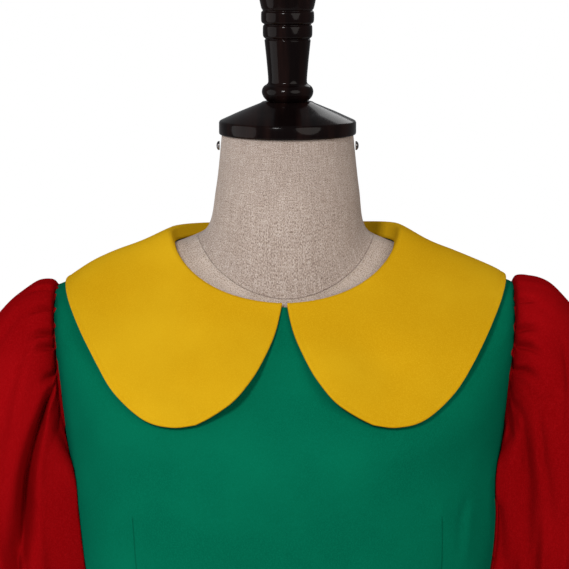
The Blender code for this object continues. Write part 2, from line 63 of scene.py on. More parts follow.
# How far the groove inside the collar's edge lies from it.
COLLAR_GROOVE = 0.0042
FRONT = math.radians(-90)
MM = 0.001


def ring_table(*rows):
    """A table of rings from millimetres. Its last two columns are bare numbers."""
    return np.array(rows) * ([MM] * 8 + [1, 1])


# Rings that the dress form and the dress share, from the top of the neck to the armhole.
# Millimetres: centre_x, half_width, side_y, side_z, front_y, front_z, back_y, back_z. Then
# squareness and crest.
UPPER_RINGS = ring_table(
    (2.5, 53.5, 0, 1451.5, -52, 1451.5, 52, 1451.5, 2, 0.5),
    (2.5, 58.3, 1, 1408, -56, 1400, 55.5, 1416, 2, 0.5),
    (1.5, 65.7, 5, 1373.5, -60.5, 1326.2, 60, 1385, 2, 0.3),
    (0, 92.5, 8, 1360.5, -66.5, 1318.5, 69, 1360.5, 2, 0.15),
    (0, 137, 12, 1350, -90, 1286, 88, 1326, 2.2, 0.25),
    (0, 181, 12, 1327, -108, 1252, 100, 1290, 2.5, 0.5),
    (0, 186.5, 10, 1299, -119, 1229, 105, 1258, 2.55, 1),
    (0, 182.2, 6, 1250, -129, 1208, 106, 1224, 2.45, 2),
)
# Ease of the dress over the form at each of those rings.
UPPER_EASE = (0.0006, 0.0006, 0.0006, 0.0006, 0.0006, 0.0010, 0.0030, 0.0040)
NECK_X = UPPER_RINGS[0][0]
NECK_TOP_Z = UPPER_RINGS[0][3]
NECKLINE_ROW = 3
SHOULDER_TIP_ROW = 5.12
SHOULDER_TIP_LIFT = 0.0034
# How much lower the form's right shoulder is than its left one.
SHOULDER_DROP = 0.0030
ARMPIT_ROW = 8.05
ARMHOLE_MIDDLE = (SHOULDER_TIP_ROW + ARMPIT_ROW) / 2
ARMHOLE_HALF = (ARMPIT_ROW - SHOULDER_TIP_ROW) / 2

FORM_LOWER_RINGS = ring_table(
    (0, 166, 2, 1185, -133, 1185, 103, 1187, 2.4, 2),
    (0, 148, 0, 1125, -115, 1125, 96, 1125, 2.2, 2),
    (0, 123, 0, 1040, -96, 1040, 90, 1040, 2.1, 2),
    (0, 152, 2, 950, -106, 950, 106, 950, 2.1, 2),
    (0, 170, 4, 860, -108, 860, 117, 860, 2.2, 2),
    (0, 164, 4, 760, -102, 760, 112, 760, 2.2, 2),
    (0, 156, 4, 745, -95, 745, 105, 745, 2.2, 2),
)
DRESS_LOWER_RINGS = ring_table(
    (0.3, 178.5, 2, 1185, -137, 1185, 106, 1187, 2.3, 2),
    (2.4, 173.5, 0, 1120, -130, 1120, 104, 1120, 2.55, 2),
    (3, 162, 0, 1040, -121, 1040, 101, 1040, 2.5, 2),
    (1.5, 171, 2, 950, -127, 950, 116, 950, 2.1, 2),
    (0, 188, 4, 860, -139, 860, 134, 860, 2.1, 2),
    (0, 208, 4, 750, -156, 750, 152, 750, 2.1, 2),
    (0, 226, 4, 640, -171, 640, 168, 640, 2.1, 2),
    (0, 242, 4, 530, -185, 530, 183, 530, 2.1, 2),
)
HEM_ROW = len(UPPER_RINGS) + len(DRESS_LOWER_RINGS) - 1
FORM_BASE_ROW = len(UPPER_RINGS) + len(FORM_LOWER_RINGS) - 1
ARMHOLE_FRONT_DEG = 20.0
ARMHOLE_BACK_DEG = 27.0
ARMHOLE_INSET = 0.982

# Soft ridges that fall from the hips to the hem: degrees, half width in degrees, depth in mm.
FLUTES = (
    (-164, 11, 15), (-138, 10, 18), (-112, 9, 14), (-83, 10, 17), (-55, 10, 15), (-28, 9, 19),
    (3, 11, 14), (30, 10, 17), (57, 9, 15), (84, 10, 14), (110, 10, 18), (141, 10, 15),
    (168, 9, 13),
)
FLUTE_START_ROW = 9.6

# Collar edge: degrees from the centre front, mm from the neckline.
COLLAR_FRONT_END = (1, MM) * np.array((
    (1.3, 0), (3.2, 23), (5.9, 46), (8.7, 69), (12.6, 91.5), (20.5, 114),
))
COLLAR_OUTER_EDGE = (1, MM) * np.array((
    (20.5, 114), (26, 122.5), (32.5, 126.3), (39.7, 119.5), (46, 109), (53, 101.5), (62.8, 95.6),
    (76, 92.4), (92, 92.2), (112, 92.8), (132, 95), (150, 95.5), (166, 90.5),
))
COLLAR_BACK_END = (1, MM) * np.array((
    (179.2, 0), (178.4, 30), (176.5, 60), (172.5, 82), (166, 90.5),
))
COLLAR_ROLL = (1, MM) * np.array((
    (0, 4.4), (40, 5.2), (65, 7.2), (85, 10.5), (110, 12.5), (140, 13.8), (180, 14.2),
))
ROLL_RADIUS = 0.0026
# The roll stands higher on the wearer's left shoulder.
ROLL_RISE = {1: 0.0028, -1: 0.0}
ROLL_SETTLES_IN = 0.024
COLLAR_AIR = 0.0012
STAND_AIR = 0.0002
# Soft hollows and swells of the collar: degrees from the centre front, mm from the neckline,
# their half widths in degrees and mm, and their height in mm.
COLLAR_RELIEF = {
    -1: (
        (34, 90, 26, 50, 4.6), (31, 56, 7, 30, -3.4), (10, 80, 9, 40, 8), (90, 86, 12, 16, -1),
        (55, 104, 18, 20, 2.4), (24, 94, 6, 18, -1.2), (128, 60, 16, 30, 0.8),
    ),
    1: (
        (34, 90, 26, 50, 4.6), (27, 70, 7, 28, -4.4), (10, 80, 9, 40, 6), (55, 104, 18, 20, 2.4),
        (40, 108, 6, 16, -1.4), (84, 88, 12, 14, 1.4), (134, 55, 18, 30, 0.8),
    ),
}

# Sections of the puff sleeve after the armhole, on the wearer's left, in millimetres:
# outer_x, outer_z, inner_x, inner_z, middle_y, half_depth, head_gather, cuff_gather
SLEEVE_SECTIONS = MM * np.array((
    (191.5, 1331, 179, 1178, 8, 59, 1.4, 0),
    (206, 1329, 178, 1170, 7, 66.5, 0.9, 0),
    (226, 1316.5, 175, 1157, 6, 71, 0.2, 0),
    (247.5, 1290, 171, 1143, 5, 73, 0, 0),
    (265, 1252, 166, 1129, 4, 73.5, 0, 0),
    (275.5, 1207, 159, 1115, 3, 72.5, 0, 0.3),
    (279, 1159, 154, 1101, 2, 70, 0, 1),
    (274, 1117, 155, 1087, 1, 66, 0, 2),
    (264, 1083, 160, 1073, 0, 59, 0, 2.6),
    (254, 1060, 167, 1059, 0, 51, 0, 2),
    (250, 1048, 169, 1048, 0, 47, 0, 0.6),
))
# How square the sleeve's section is beside the body, and how much flatter it is there. Both
# fade away over the last sections above the cuff.
SLEEVE_SQUARE = {1: 10.0, -1: 12.0}
SLEEVE_FLATTER = 0.17
SLEEVE_FLAT_FROM = 0.62
# How much deeper the sleeve's face runs in beside the body, from this share of its width on.
SLEEVE_TUCK = 0.020
SLEEVE_TUCK_FROM = 0.45
SLEEVE_ROUNDS_IN = 3
# Long soft folds: degrees round the sleeve from its top to its front, half width, height in mm.
SLEEVE_FOLDS = {
    1: ((30, 15, 4), (66, 14, 4), (-42, 17, 6), (-88, 15, 7), (-134, 16, 8)),
    -1: ((26, 14, 4), (66, 12, 5), (-36, 16, 7), (-80, 16, 6), (-128, 15, 8)),
}
# Creases: the places that each runs through as (section, degrees round), its half width in
# degrees at its two ends, and its height in mm at the middle. A trough's height is below 0.
SLEEVE_CREASES = {
    -1: (
        (((0.6, 4), (2.6, 0), (5.2, -4)), 34, 34, -2.6),
        (((-1.4, 128), (-0.2, 123), (1.2, 123), (3.2, 128)), 13, 15, 5),
        (((-0.5, 90), (0.5, 93), (1.9, 99), (2.9, 100.5), (3.9, 100.5), (4.8, 99), (5.8, 95.5),
          (6.9, 88), (9, 80)), 2.2, 8.6, -19),
        (((3.2, 101), (5, 97.5), (6.9, 88), (9.4, 80)), 6, 9, -7),
        (((0.2, 122), (1.9, 128), (3.9, 129), (5.8, 126), (8, 122)), 13, 14, 3.6),
        (((-1.2, 44), (0.2, 38.5), (1.5, 37)), 1.7, 2.5, -8.4),
        (((-1.2, 65), (0.2, 57), (1.6, 54)), 1.8, 2.6, -9),
        (((-1.2, 74), (0.2, 66), (1.5, 63)), 1.7, 2.5, -7.4),
        (((-1.2, 89), (0, 84), (1.4, 83)), 1.8, 2.8, -8.6),
        (((-1.2, 21), (0.2, 18.5), (1.4, 18)), 1.8, 2.6, -5.2),
        (((1, 56), (2.3, 72), (3.4, 81), (5, 80)), 3, 5, -1.6),
        (((1, 30), (3, 40), (5.5, 44)), 4, 7, -2),
        (((-0.9, -24), (0.8, -27), (2.8, -31)), 3, 6, -3),
        (((-0.9, -52), (1, -56), (4.5, -60)), 3, 8, -4.5),
        (((-0.9, -83), (1, -92), (6, -104)), 3, 9, -8),
        (((4, -20), (6.5, -16), (9, -14)), 5, 4, -2.6),
    ),
    1: (
        (((-0.95, 8), (0.2, 4), (2.4, 0)), 34, 40, 3.4),
        (((0.6, 4), (2.6, 0), (5.2, -4)), 34, 34, 3.6),
        (((-1.4, 126), (-0.2, 122), (1.2, 122), (3.2, 128)), 15, 14, 5.2),
        (((1, 101), (2, 107), (3, 110.5), (4, 111.5), (5.1, 110.5), (7, 104), (9, 96)), 4, 9, -5.6),
        (((-0.6, 99), (0.9, 113), (2.3, 120), (3.6, 122), (5.5, 122)), 3.5, 7, 2.2),
        (((2.6, 130), (3.8, 127), (5, 124), (6.4, 121), (8.4, 116)), 3, 4.5, -8.6),
        (((-1.2, 35), (0.2, 32.5), (1.3, 32)), 1.8, 2.6, -6.2),
        (((-1.2, 63), (0, 55), (1.6, 48)), 1.8, 2.6, -7.2),
        (((-1.2, 69), (0.2, 65), (2, 61.5)), 1.8, 2.7, -8),
        (((-1.2, 90), (0, 81), (2, 75)), 1.8, 2.8, -8),
        (((1.8, 92), (2.2, 82), (2.9, 68)), 2.2, 2.6, -1.6),
        (((1.8, 88), (3.6, 97), (5.4, 93), (7, 88)), 3.5, 6, -3),
        (((2, 40), (2.5, 50), (3.4, 70), (5.5, 72)), 4, 7, -2.4),
        (((-0.9, -20), (0.8, -22), (2.6, -26)), 3, 6, -2.8),
        (((-0.9, -46), (1, -52), (4.5, -58)), 3, 8, -6),
        (((-0.9, -80), (1, -88), (6, -98)), 3, 9, -7.6),
        (((4, -24), (6.5, -20), (9, -18)), 5, 4, -2.6),
    ),
}
SLEEVE_REST_GAP = 0.0009
# The cloth of a sleeve and of a cuff band, laid flat.
SLEEVE_CUT = (0.56, 0.30)
CUFF_CUT = (0.28, 0.024)
# How far the small puffs at the sleeve's head lean over its seam.
SCALLOP = 0.0034
# Degrees round from the top where the puffs give way to the fold that covers the seam.
SCALLOPS_END = 88
SEAM_FOLD = 0.0016
SEAM_FOLD_END = 158
CUFF_HEIGHT = 0.022
CUFF_STEP = 0.0006

# Creases of the body in the same form, as (row, degrees from the centre front).
BODY_CREASES = (
    (((8.15, 51.5), (8.42, 48.8), (8.54, 47.7), (8.76, 47), (9.1, 45.4)), 1.1, 1.5, -1.8),
    (((8.25, 53.6), (8.5, 51), (8.76, 49.4), (9.2, 47.6)), 1.4, 1.8, 1.2),
    (((7.5, -7), (8.4, -7.5), (9.6, -8), (10.8, -8)), 6, 6, -1.2),
    (((7.4, 6), (8.4, 6), (9.6, 7), (10.8, 7)), 7, 7, 1),
    (((7.2, 31), (8.2, 33), (9.4, 34)), 5, 6, -0.9),
    (((7.2, -29), (8.2, -31), (9.4, -33)), 5, 6, -0.7),
    (((8.3, -48), (8.8, -45.5), (9.5, -44)), 1.6, 2.2, -1),
    (((7.6, 66), (8.4, 62), (9.4, 60)), 3, 4, 1.2),
    (((8.2, 150), (9.4, 146), (10.6, 142)), 4, 6, -1.6),
    (((8.2, -150), (9.4, -145), (10.6, -140)), 4, 6, -1.4),
    (((8.4, 112), (9.6, 116), (10.8, 120)), 4, 6, -1.4),
    (((8.4, -112), (9.6, -116), (10.8, -120)), 4, 6, -1.2),
)
# Darts, shaped at the waist: degrees from the centre front, top row, lowest row.
DARTS = ((-40.2, 8.42, 11.3), (41.0, 8.42, 11.3), (-141.0, 8.55, 11.3), (141.0, 8.55, 11.3))

NECK_CAP_TOP = 1.4785
NECK_CAP_RIM_RADIUS = 0.0558
NECK_CAP_RIM_HEIGHT = 0.0110
SCREW_RADIUS = 0.0037
SCREW_HEIGHT = 0.0026
SCREW_Z = 1.4424
SCREW_SEAT = 0.0018
# Turned outlines in millimetres: radius, height.
FINIAL_OUTLINE = MM * np.array((
    (16.5, 0), (19.7, 3), (21.3, 7.5), (19.9, 11.8), (16, 14), (15.6, 17), (17, 33), (18.6, 48),
    (18.8, 49.3), (18, 50), (18, 50.6), (19.4, 51.6), (20.1, 53), (20.1, 60), (19.7, 61.2),
    (19, 61.7), (19, 62.3), (20.8, 63.3), (21.5, 64.8), (21.5, 71.2), (21.1, 72.4), (20.2, 72.9),
    (20.2, 73.6), (21, 74.4), (21.6, 76), (23.5, 85), (25.2, 99), (23.6, 111), (16.6, 119),
    (8.5, 122.5), (7.8, 125.5), (10.4, 130.5), (8.6, 136), (4, 138.5), (0, 138.5),
))
STAND_OUTLINE = MM * np.array((
    (0, 0), (196, 0), (199.4, 1.6), (200, 4), (199.6, 7), (197.5, 9.2), (180, 12), (50, 16.5),
    (33, 23), (27, 40), (25.2, 58), (24.4, 60), (0, 60),
))
POLE_RADIUS = 0.0160


def full_turn(count):
    return np.linspace(0, 2 * math.pi, count, endpoint=False)


def bell(value, width):
    return np.exp(-((value / width) ** 2))


def eased(share):
    """The share from 0 to 1, with a soft start and end."""
    share = np.clip(share, 0, 1)
    return share * share * (3 - 2 * share)


def read_table(table, row):
    """A table's values at a row that needn't be whole, on a smooth curve through its rows."""
    table = np.asarray(table, float)
    row = np.asarray(row, float)
    last = len(table) - 1
    start = np.clip(np.floor(row).astype(int), 0, last - 1)
    share = (row - start)[..., None]
    before = table[np.maximum(start - 1, 0)]
    low, high = table[start], table[start + 1]
    after = table[np.minimum(start + 2, last)]
    slope_low, slope_high = (high - before) / 2, (after - low) / 2
    return (
        low
        + share * slope_low
        + share**2 * (3 * (high - low) - 2 * slope_low - slope_high)
        + share**3 * (2 * (low - high) + slope_low + slope_high)
    )


def look_up(pairs, value):
    table = np.asarray(pairs, float)
    return np.interp(value, table[:, 0], table[:, 1])


def ring_point(rings, row, angle):
    """The point at an angle on a ring, for arrays of rows and angles."""
    columns = np.moveaxis(read_table(rings, row), -1, 0)
    centre_x, half_width, side_y, side_z, front_y, front_z, back_y, back_z, square, crest = columns
    across, along = np.cos(angle), np.sin(angle)
    reach = (np.abs(across) ** square + np.abs(along) ** square) ** (-1 / square)
    end_y = np.where(along < 0, front_y, back_y)
    end_z = np.where(along < 0, front_z, back_z)
    share = np.abs(along) * reach
    fall = (np.hypot(share, crest) - crest) / (np.hypot(1, crest) - crest)
    x = centre_x + half_width * across * reach
    y = side_y + (end_y - side_y) * share
    z = side_z + (end_z - side_z) * fall
    z -= SHOULDER_DROP * bell(row - 5, 0.55) * np.clip(-across, 0, 1) ** 2
    return np.stack([x, y, z], axis=-1)


def unit(vectors):
    return vectors / np.linalg.norm(vectors, axis=-1, keepdims=True)


EASE_COLUMNS = np.array([0, 1, 0, 1, -1, 1, 1, 1, 0, 0])
FORM_RINGS = np.concatenate([UPPER_RINGS, FORM_LOWER_RINGS])
DRESS_RINGS = np.concatenate(
    [UPPER_RINGS + np.outer(UPPER_EASE, EASE_COLUMNS), DRESS_LOWER_RINGS]
)


def turn_between(angle_deg, middle_deg):
    """The signed turn from one angle to another, in degrees from -180 to 180."""
    return (angle_deg - middle_deg + 180) % 360 - 180


def flute_height(row, angle):
    fall = np.clip((row - FLUTE_START_ROW) / (HEM_ROW - FLUTE_START_ROW), 0, 1) ** 1.3
    total = np.zeros(np.broadcast(row, angle).shape)
    for middle, half_width, depth in FLUTES:
        total += depth * MM * bell(turn_between(np.degrees(angle), middle), half_width)
    return total * fall


def dress_point(row, angle, height=0.0):
    """A point on the inside of the dress's cloth, or this high over it."""
    row, angle = np.broadcast_arrays(np.asarray(row, float), np.asarray(angle, float))

    def beside(down, round_by):
        return ring_point(DRESS_RINGS, row + down, angle + round_by)

    row_step = beside(0.01, 0) - beside(-0.01, 0)
    angle_step = beside(0, 0.01) - beside(0, -0.01)
    outward = unit(np.cross(row_step, angle_step))
    lift = np.asarray(height, float) + flute_height(row, angle)
    return beside(0, 0) + outward * lift[..., None]


def crease_height(creases, place, turn_deg):
    """The height of all creases at each point. Each fades in and out along its path."""
    total = np.zeros(np.broadcast(place, turn_deg).shape)
    for path, first_width, last_width, height in creases:
        path = np.asarray(path, float)
        start, end = path[0, 0], path[-1, 0]
        share = (place - start) / (end - start)
        middle = np.interp(place, path[:, 0], path[:, 1])
        width = first_width + (last_width - first_width) * np.clip(share, 0, 1)
        fade = eased(np.minimum(share / 0.25, (1 - share) / 0.45))
        total += height * MM * fade * bell(turn_between(turn_deg, middle), width)
    return total


# Meshes. A grid is an array of rows, columns and x, y, z.


def place_object(name, data):
    obj = bpy.data.objects.new(name, data)
    bpy.context.scene.collection.objects.link(obj)
    return obj


def add_object(name, points, faces, material, uv=None, floats=None):
    mesh = bpy.data.meshes.new(name)
    mesh.from_pydata([tuple(point) for point in points], [], faces)
    mesh.shade_smooth()
    mesh.materials.append(material)
    if uv is not None:
        layer = mesh.uv_layers.new(name="cloth")
        corner = np.empty(len(mesh.loops), dtype=np.int32)
        mesh.loops.foreach_get("vertex_index", corner)
        layer.data.foreach_set("uv", np.asarray(uv, np.float32)[corner].ravel())
    for key, values in (floats or {}).items():
        mesh.attributes.new(key, "FLOAT", "POINT").data.foreach_set(
            "value", np.asarray(values, np.float32).ravel()
        )
    obj = place_object(name, mesh)
    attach(obj, "root")
    return obj


def quads(rows, columns, wrap):
    reach = columns if wrap else columns - 1
    row, column = np.meshgrid(np.arange(rows - 1), np.arange(reach), indexing="ij")
    beside = (column + 1) % columns
    low, high = row * columns, (row + 1) * columns
    return np.stack([low + column, low + beside, high + beside, high + column], -1).reshape(-1, 4)


def facing_out(points, faces):
    """The faces, turned round if the closed shape would be inside out."""
    corners = points[faces]
    centre = points.mean(axis=0)
    a, b, c = (corners[:, index] - centre for index in range(3))
    if np.einsum("ij,ij->i", a, np.cross(b, c)).sum() < 0:
        return faces[:, ::-1]
    return faces


def wall(name, outer, inner, material, uv, wrap=False, floats=None):
    """A closed wall between two grids of the same size."""
    rows, columns = outer.shape[:2]
    count = rows * columns
    points = np.concatenate([outer.reshape(-1, 3), inner.reshape(-1, 3)])
    cells = quads(rows, columns, wrap)
    faces = [cells, count + cells[:, ::-1]]
    place = np.arange(count).reshape(rows, columns)
    rims = [place[0], place[-1, ::-1]]
    if not wrap:
        rims = [np.concatenate([place[0], place[1:, -1], place[-1, -2::-1], place[-2:0:-1, 0]])]
    for rim in rims:
        after = np.roll(rim, -1)
        faces.append(np.stack([rim, count + rim, count + after, after], -1))
    faces = facing_out(points, np.concatenate(faces))
    doubled = {key: np.tile(value.ravel(), 2) for key, value in floats.items()}
    uv = np.tile(uv.reshape(-1, 2), (2, 1))
    return add_object(name, points, faces.tolist(), material, uv, doubled)


def capped(name, grid, ends, material, uv=None, floats=None):
    """A closed shape of rings that meet in a point at either end."""
    rows, columns = grid.shape[:2]
    count = rows * columns
    points = np.concatenate([grid.reshape(-1, 3), ends])
    cells = quads(rows, columns, wrap=True)
    faces = facing_out(points, cells)
    column = np.arange(columns)
    beside = (column + 1) % columns
    last = count - columns
    caps = []
    for cap in ((0 * column + count, beside, column),
                (0 * column + count + 1, last + column, last + beside)):
        triangles = np.stack(cap, -1)
        if faces[0, 0] != cells[0, 0]:
            triangles = triangles[:, ::-1]
        caps.append(triangles.tolist())
    return add_object(name, points, faces.tolist() + caps[0] + caps[1], material, uv, floats)


def grid_outward(grid, wrap):
    down = np.gradient(grid, axis=0)
    if wrap:
        across = np.roll(grid, -1, axis=1) - np.roll(grid, 1, axis=1)
    else:
        across = np.gradient(grid, axis=1)
    return unit(np.cross(down, across))


def grid_lengths(grid, axis):
    """Distance travelled over the grid along one axis, from its start."""
    step = np.linalg.norm(np.diff(grid, axis=axis), axis=-1)
    start = np.zeros_like(np.take(step, [0], axis=axis))
    return np.concatenate([start, np.cumsum(step, axis=axis)], axis=axis)


def grid_uv(grid):
    across = grid_lengths(grid, 1)
    across = across - across[:, -1:] / 2
    return np.stack([across, -grid_lengths(grid, 0)], axis=-1)


def near_edge(shares, middles):
    """Shares from 0 to 1 that crowd at both ends, given the crowded ones at the start."""
    middle = np.linspace(shares[-1], 1 - shares[-1], middles)
    return np.concatenate([shares[:-1], middle, [1 - share for share in shares[:-1]][::-1]])


def marks(seam, line=1.0, line_share=0.0, stitch=1.0):
    """What a cloth's material reads at each point: metres to its seams, lines and stitches."""
    values = np.broadcast_arrays(seam, line, line_share, stitch)
    return dict(zip(("seam_m", "line_m", "line_share", "stitch_m"), values))


# Materials. Each is made of nodes, on the cloth's own lengths in metres where it is woven.


def rgb(red, green, blue):
    return (red, green, blue, 1.0)


class Nodes:
    """Short calls for a material's node tree."""

    def __init__(self, name):
        self.material = bpy.data.materials.new(name)
        self.material.use_nodes = True
        self.tree = self.material.node_tree
        self.uv = self.add("UVMap", {}, uv_map="cloth")
        self.place = self.add("TexCoord", {}, output=3)

    def fill(self, node, inputs):
        """Sets a node's inputs, each to a number or to another node's output."""
        for key, value in inputs.items():
            if isinstance(value, bpy.types.NodeSocket):
                self.tree.links.new(value, node.inputs[key])
            else:
                node.inputs[key].default_value = value

    def add(self, kind, inputs, output=0, **settings):
        node = self.tree.nodes.new("ShaderNode" + kind)
        for key, value in settings.items():
            setattr(node, key, value)
        self.fill(node, inputs)
        return node.outputs[output]

    def math(self, operation, *values):
        return self.add("Math", dict(enumerate(values)), operation=operation)

    def sum_of(self, *parts):
        """The sum of values, each times its share."""
        total = 0.0
        for value, share in parts:
            total = self.math("MULTIPLY_ADD", value, share, total)
        return total

    def noise(self, scale, detail=2.0, roughness=0.5, stretch=None, vector=None):
        vector = vector or self.place
        if stretch:
            vector = self.add("Mapping", {"Vector": vector, "Scale": stretch})
        inputs = {"Vector": vector, "Scale": scale, "Detail": detail, "Roughness": roughness}
        return self.add("TexNoise", inputs)

    def span(self, value, low, high, to_low, to_high, smooth=False):
        inputs = {
            "Value": value, "From Min": low, "From Max": high, "To Min": to_low, "To Max": to_high
        }
        kind = "SMOOTHSTEP" if smooth else "LINEAR"
        return self.add("MapRange", inputs, interpolation_type=kind)

    def near(self, value, start, end):
        """1 where the value is close to 0, and 0 from the end on."""
        return self.span(self.math("ABSOLUTE", value), start, end, 1.0, 0.0, True)

    def mix(self, share, first, second, blend="MIX"):
        inputs = {0: share, 6: first, 7: second}
        return self.add("Mix", inputs, 2, data_type="RGBA", blend_type=blend)

    def tint(self, colour, *layers):
        """The colour with others laid over it, each over a span of a value."""
        for other, *span in layers:
            colour = self.mix(self.span(*span), colour, other)
        return colour

    def darken(self, colour, other, value, share):
        return self.mix(self.math("MULTIPLY", value, share), colour, other, "MULTIPLY")

    def attribute(self, name):
        return self.add("Attribute", {}, 2, attribute_name=name)

    def bump(self, height, distance, strength):
        return self.add("Bump", {"Height": height, "Distance": distance, "Strength": strength})

    def weave(self, thread):
        """Height of crossed threads, from 0 to 1, one thread being this wide in metres."""
        turns = math.pi / thread
        scaled = self.add("Mapping", {"Vector": self.uv, "Scale": (turns,) * 3})
        warp, weft = (
            self.math("SINE", self.add("SeparateXYZ", {0: scaled}, axis)) for axis in (0, 1)
        )
        return self.math("MULTIPLY_ADD", self.math("MULTIPLY", warp, weft), 0.5, 0.5)

    def finish(self, colour, roughness, normal=None, **constants):
        inputs = {"Base Color": colour, "Roughness": roughness}
        if normal is not None:
            inputs["Normal"] = normal
        for key, value in constants.items():
            inputs[key.replace("_", " ").title().replace("Ior", "IOR")] = value
        self.fill(self.tree.nodes["Principled BSDF"], inputs)
        return self.material


STITCH_LENGTH = 0.0030


def cloth_material(name, base, deep, lit, thread, grain, sheen, sheen_tint, roughness):
    """Woven cloth: its weave and crepe grain, soft patches, painted seam shadow, hem and dart lines
    with painted shade in their puckers and grooves.
    """
    nodes = Nodes(name)
    threads = nodes.weave(thread)
    crepe = nodes.noise(1100, 2.0, 0.6, stretch=(1, 1, 0.8))
    fine = nodes.noise(2600, 1.0)
    patches = nodes.noise(7.5, 3.0, 0.55)
    colour = nodes.tint(
        deep,
        (base, patches, 0.34, 0.66, 0.0, 1.0, True),
        (lit, crepe, 0.42, 0.72, 0.0, 0.55),
        (deep, fine, 0.30, 0.55, 0.22, 0.0),
        (deep, threads, 0.0, 0.5, 0.10, 0.0),
    )
    shade = nodes.span(nodes.attribute("seam_m"), 0.0001, 0.0013, 0.55, 0.0, True)
    colour = nodes.mix(shade, colour, deep, "MULTIPLY")
    # Painted shade: the colour darkens along the grooves of the dart lines.
    groove = nodes.near(nodes.attribute("line_m"), 0.0002, 0.0009)
    groove = nodes.math("MULTIPLY", groove, nodes.attribute("line_share"))
    colour = nodes.darken(colour, deep, groove, 0.30)
    stitch = nodes.attribute("stitch_m")
    along = nodes.add("SeparateXYZ", {0: nodes.uv})
    run = nodes.math("FRACT", nodes.math("DIVIDE", along, STITCH_LENGTH))
    from_middle = nodes.math("ABSOLUTE", nodes.math("SUBTRACT", run, 0.5))
    dash = nodes.span(from_middle, 0.36, 0.44, 1.0, 0.0)
    thread_line = nodes.math("MULTIPLY", nodes.near(stitch, 0.00025, 0.0005), dash)
    # Painted shade: the colour darkens in the puckers along the stitching.
    pucker = nodes.near(stitch, 0.0003, 0.0016)
    colour = nodes.mix(nodes.math("MULTIPLY", thread_line, 0.55), colour, lit)
    colour = nodes.darken(colour, deep, pucker, 0.35)
    height = nodes.sum_of(
        (threads, 0.28), (crepe, grain), (groove, -1.8), (pucker, -1.4), (thread_line, 1.6)
    )
    rough = nodes.span(crepe, 0.3, 0.7, roughness - 0.05, roughness + 0.05)
    return nodes.finish(
        colour, rough, nodes.bump(height, 0.00016, 0.85), sheen_weight=sheen,
        sheen_roughness=0.38, sheen_tint=sheen_tint, specular_ior_level=0.0,
    )


def linen_material():
    """Coarse flecked linen, with slubs along both threads, the seam at the neck's base with painted
    shade in its groove, and the yoke below it painted paler, partly its own tone and partly painted
    light.
    """
    nodes = Nodes("linen")
    threads = nodes.weave(0.00042)
    upright = nodes.noise(950, 2.0, 0.6, stretch=(1.0, 0.09, 1.0), vector=nodes.uv)
    level = nodes.noise(950, 2.0, 0.6, stretch=(0.09, 1.0, 1.0), vector=nodes.uv)
    long_slub = nodes.noise(260, stretch=(1.0, 0.035, 1.0), vector=nodes.uv)
    specks = nodes.noise(1050, 1.5, stretch=(1.0, 0.75, 1.0), vector=nodes.uv)
    pepper = nodes.noise(1300, 2.0, 0.7, vector=nodes.uv)
    large = nodes.noise(26, 3.0)
    base, pale, brown, fleck, yoke_tone_and_light = (
        rgb(0.380, 0.303, 0.258), rgb(0.590, 0.510, 0.460), rgb(0.180, 0.128, 0.102),
        rgb(0.100, 0.052, 0.034), rgb(0.610, 0.505, 0.425),
    )
    below = nodes.attribute("line_m")
    colour = nodes.tint(
        base,
        # Below the neck's seam the yoke is painted paler: partly its own paler tone, partly painted
        # light where it faces up.
        (yoke_tone_and_light, below, 0.0, 0.0006, 0.0, 0.62),
        (brown, large, 0.35, 0.68, 0.0, 0.30, True),
        (pale, upright, 0.45, 0.72, 0.0, 0.60),
        (pale, level, 0.48, 0.75, 0.0, 0.45),
        (brown, long_slub, 0.56, 0.70, 0.0, 0.18),
        (brown, pepper, 0.52, 0.60, 0.0, 0.80),
        (pale, pepper, 0.37, 0.47, 0.66, 0.0),
        (brown, threads, 0.0, 0.35, 0.25, 0.0),
        (fleck, specks, 0.640, 0.680, 0.0, 0.72),
    )
    # Painted shade: the colour darkens in the groove of the seam at the neck's base.
    groove = nodes.near(below, 0.00015, 0.0006)
    ridge = nodes.near(below, 0.0008, 0.0024)
    colour = nodes.darken(colour, brown, groove, 0.28)
    height = nodes.sum_of(
        (threads, 0.7), (upright, 0.9), (level, 0.8), (ridge, 1.3), (groove, -2.0)
    )
    rough = nodes.span(specks, 0.3, 0.7, 0.86, 0.96)
    return nodes.finish(
        colour, rough, nodes.bump(height, 0.00022, 0.9), sheen_weight=0.12, sheen_roughness=0.5,
        sheen_tint=rgb(0.95, 0.90, 0.85), specular_ior_level=0.22,
    )


def wood_material():
    """Near-black stained wood under gloss lacquer, with a faint grain."""
    nodes = Nodes("dark_wood")
    grain = nodes.noise(420, 4.0, 0.6, stretch=(1.0, 0.07, 0.07))
    bands = nodes.noise(90, 3.0, stretch=(1.0, 0.10, 0.10))
    dust = nodes.noise(900)
    colour = nodes.tint(
        rgb(0.0030, 0.0016, 0.0016),
        (rgb(0.0095, 0.0040, 0.0034), bands, 0.35, 0.65, 0.0, 1.0, True),
        (rgb(0.0042, 0.0025, 0.0026), grain, 0.5, 0.75, 0.0, 0.6),
    )
    return nodes.finish(
        colour, nodes.span(dust, 0.35, 0.7, 0.13, 0.20), nodes.bump(grain, 0.00005, 0.35),
        coat_weight=0.10, coat_roughness=0.05, specular_ior_level=0.04,
    )


def steel_material():
    """Polished steel, a little tarnished and finely scratched."""
    nodes = Nodes("steel")
    scratches = nodes.noise(900, 3.0, 0.6, stretch=(6.0, 1.0, 1.0))
    tarnish = nodes.noise(420, 3.0)
    colour = nodes.tint(
        rgb(0.24, 0.22, 0.21), (rgb(0.07, 0.06, 0.06), tarnish, 0.4, 0.65, 0.0, 0.8, True)
    )
    rough = nodes.span(scratches, 0.3, 0.7, 0.20, 0.36)
    return nodes.finish(colour, rough, nodes.bump(scratches, 0.00002, 0.4), metallic=1.0)


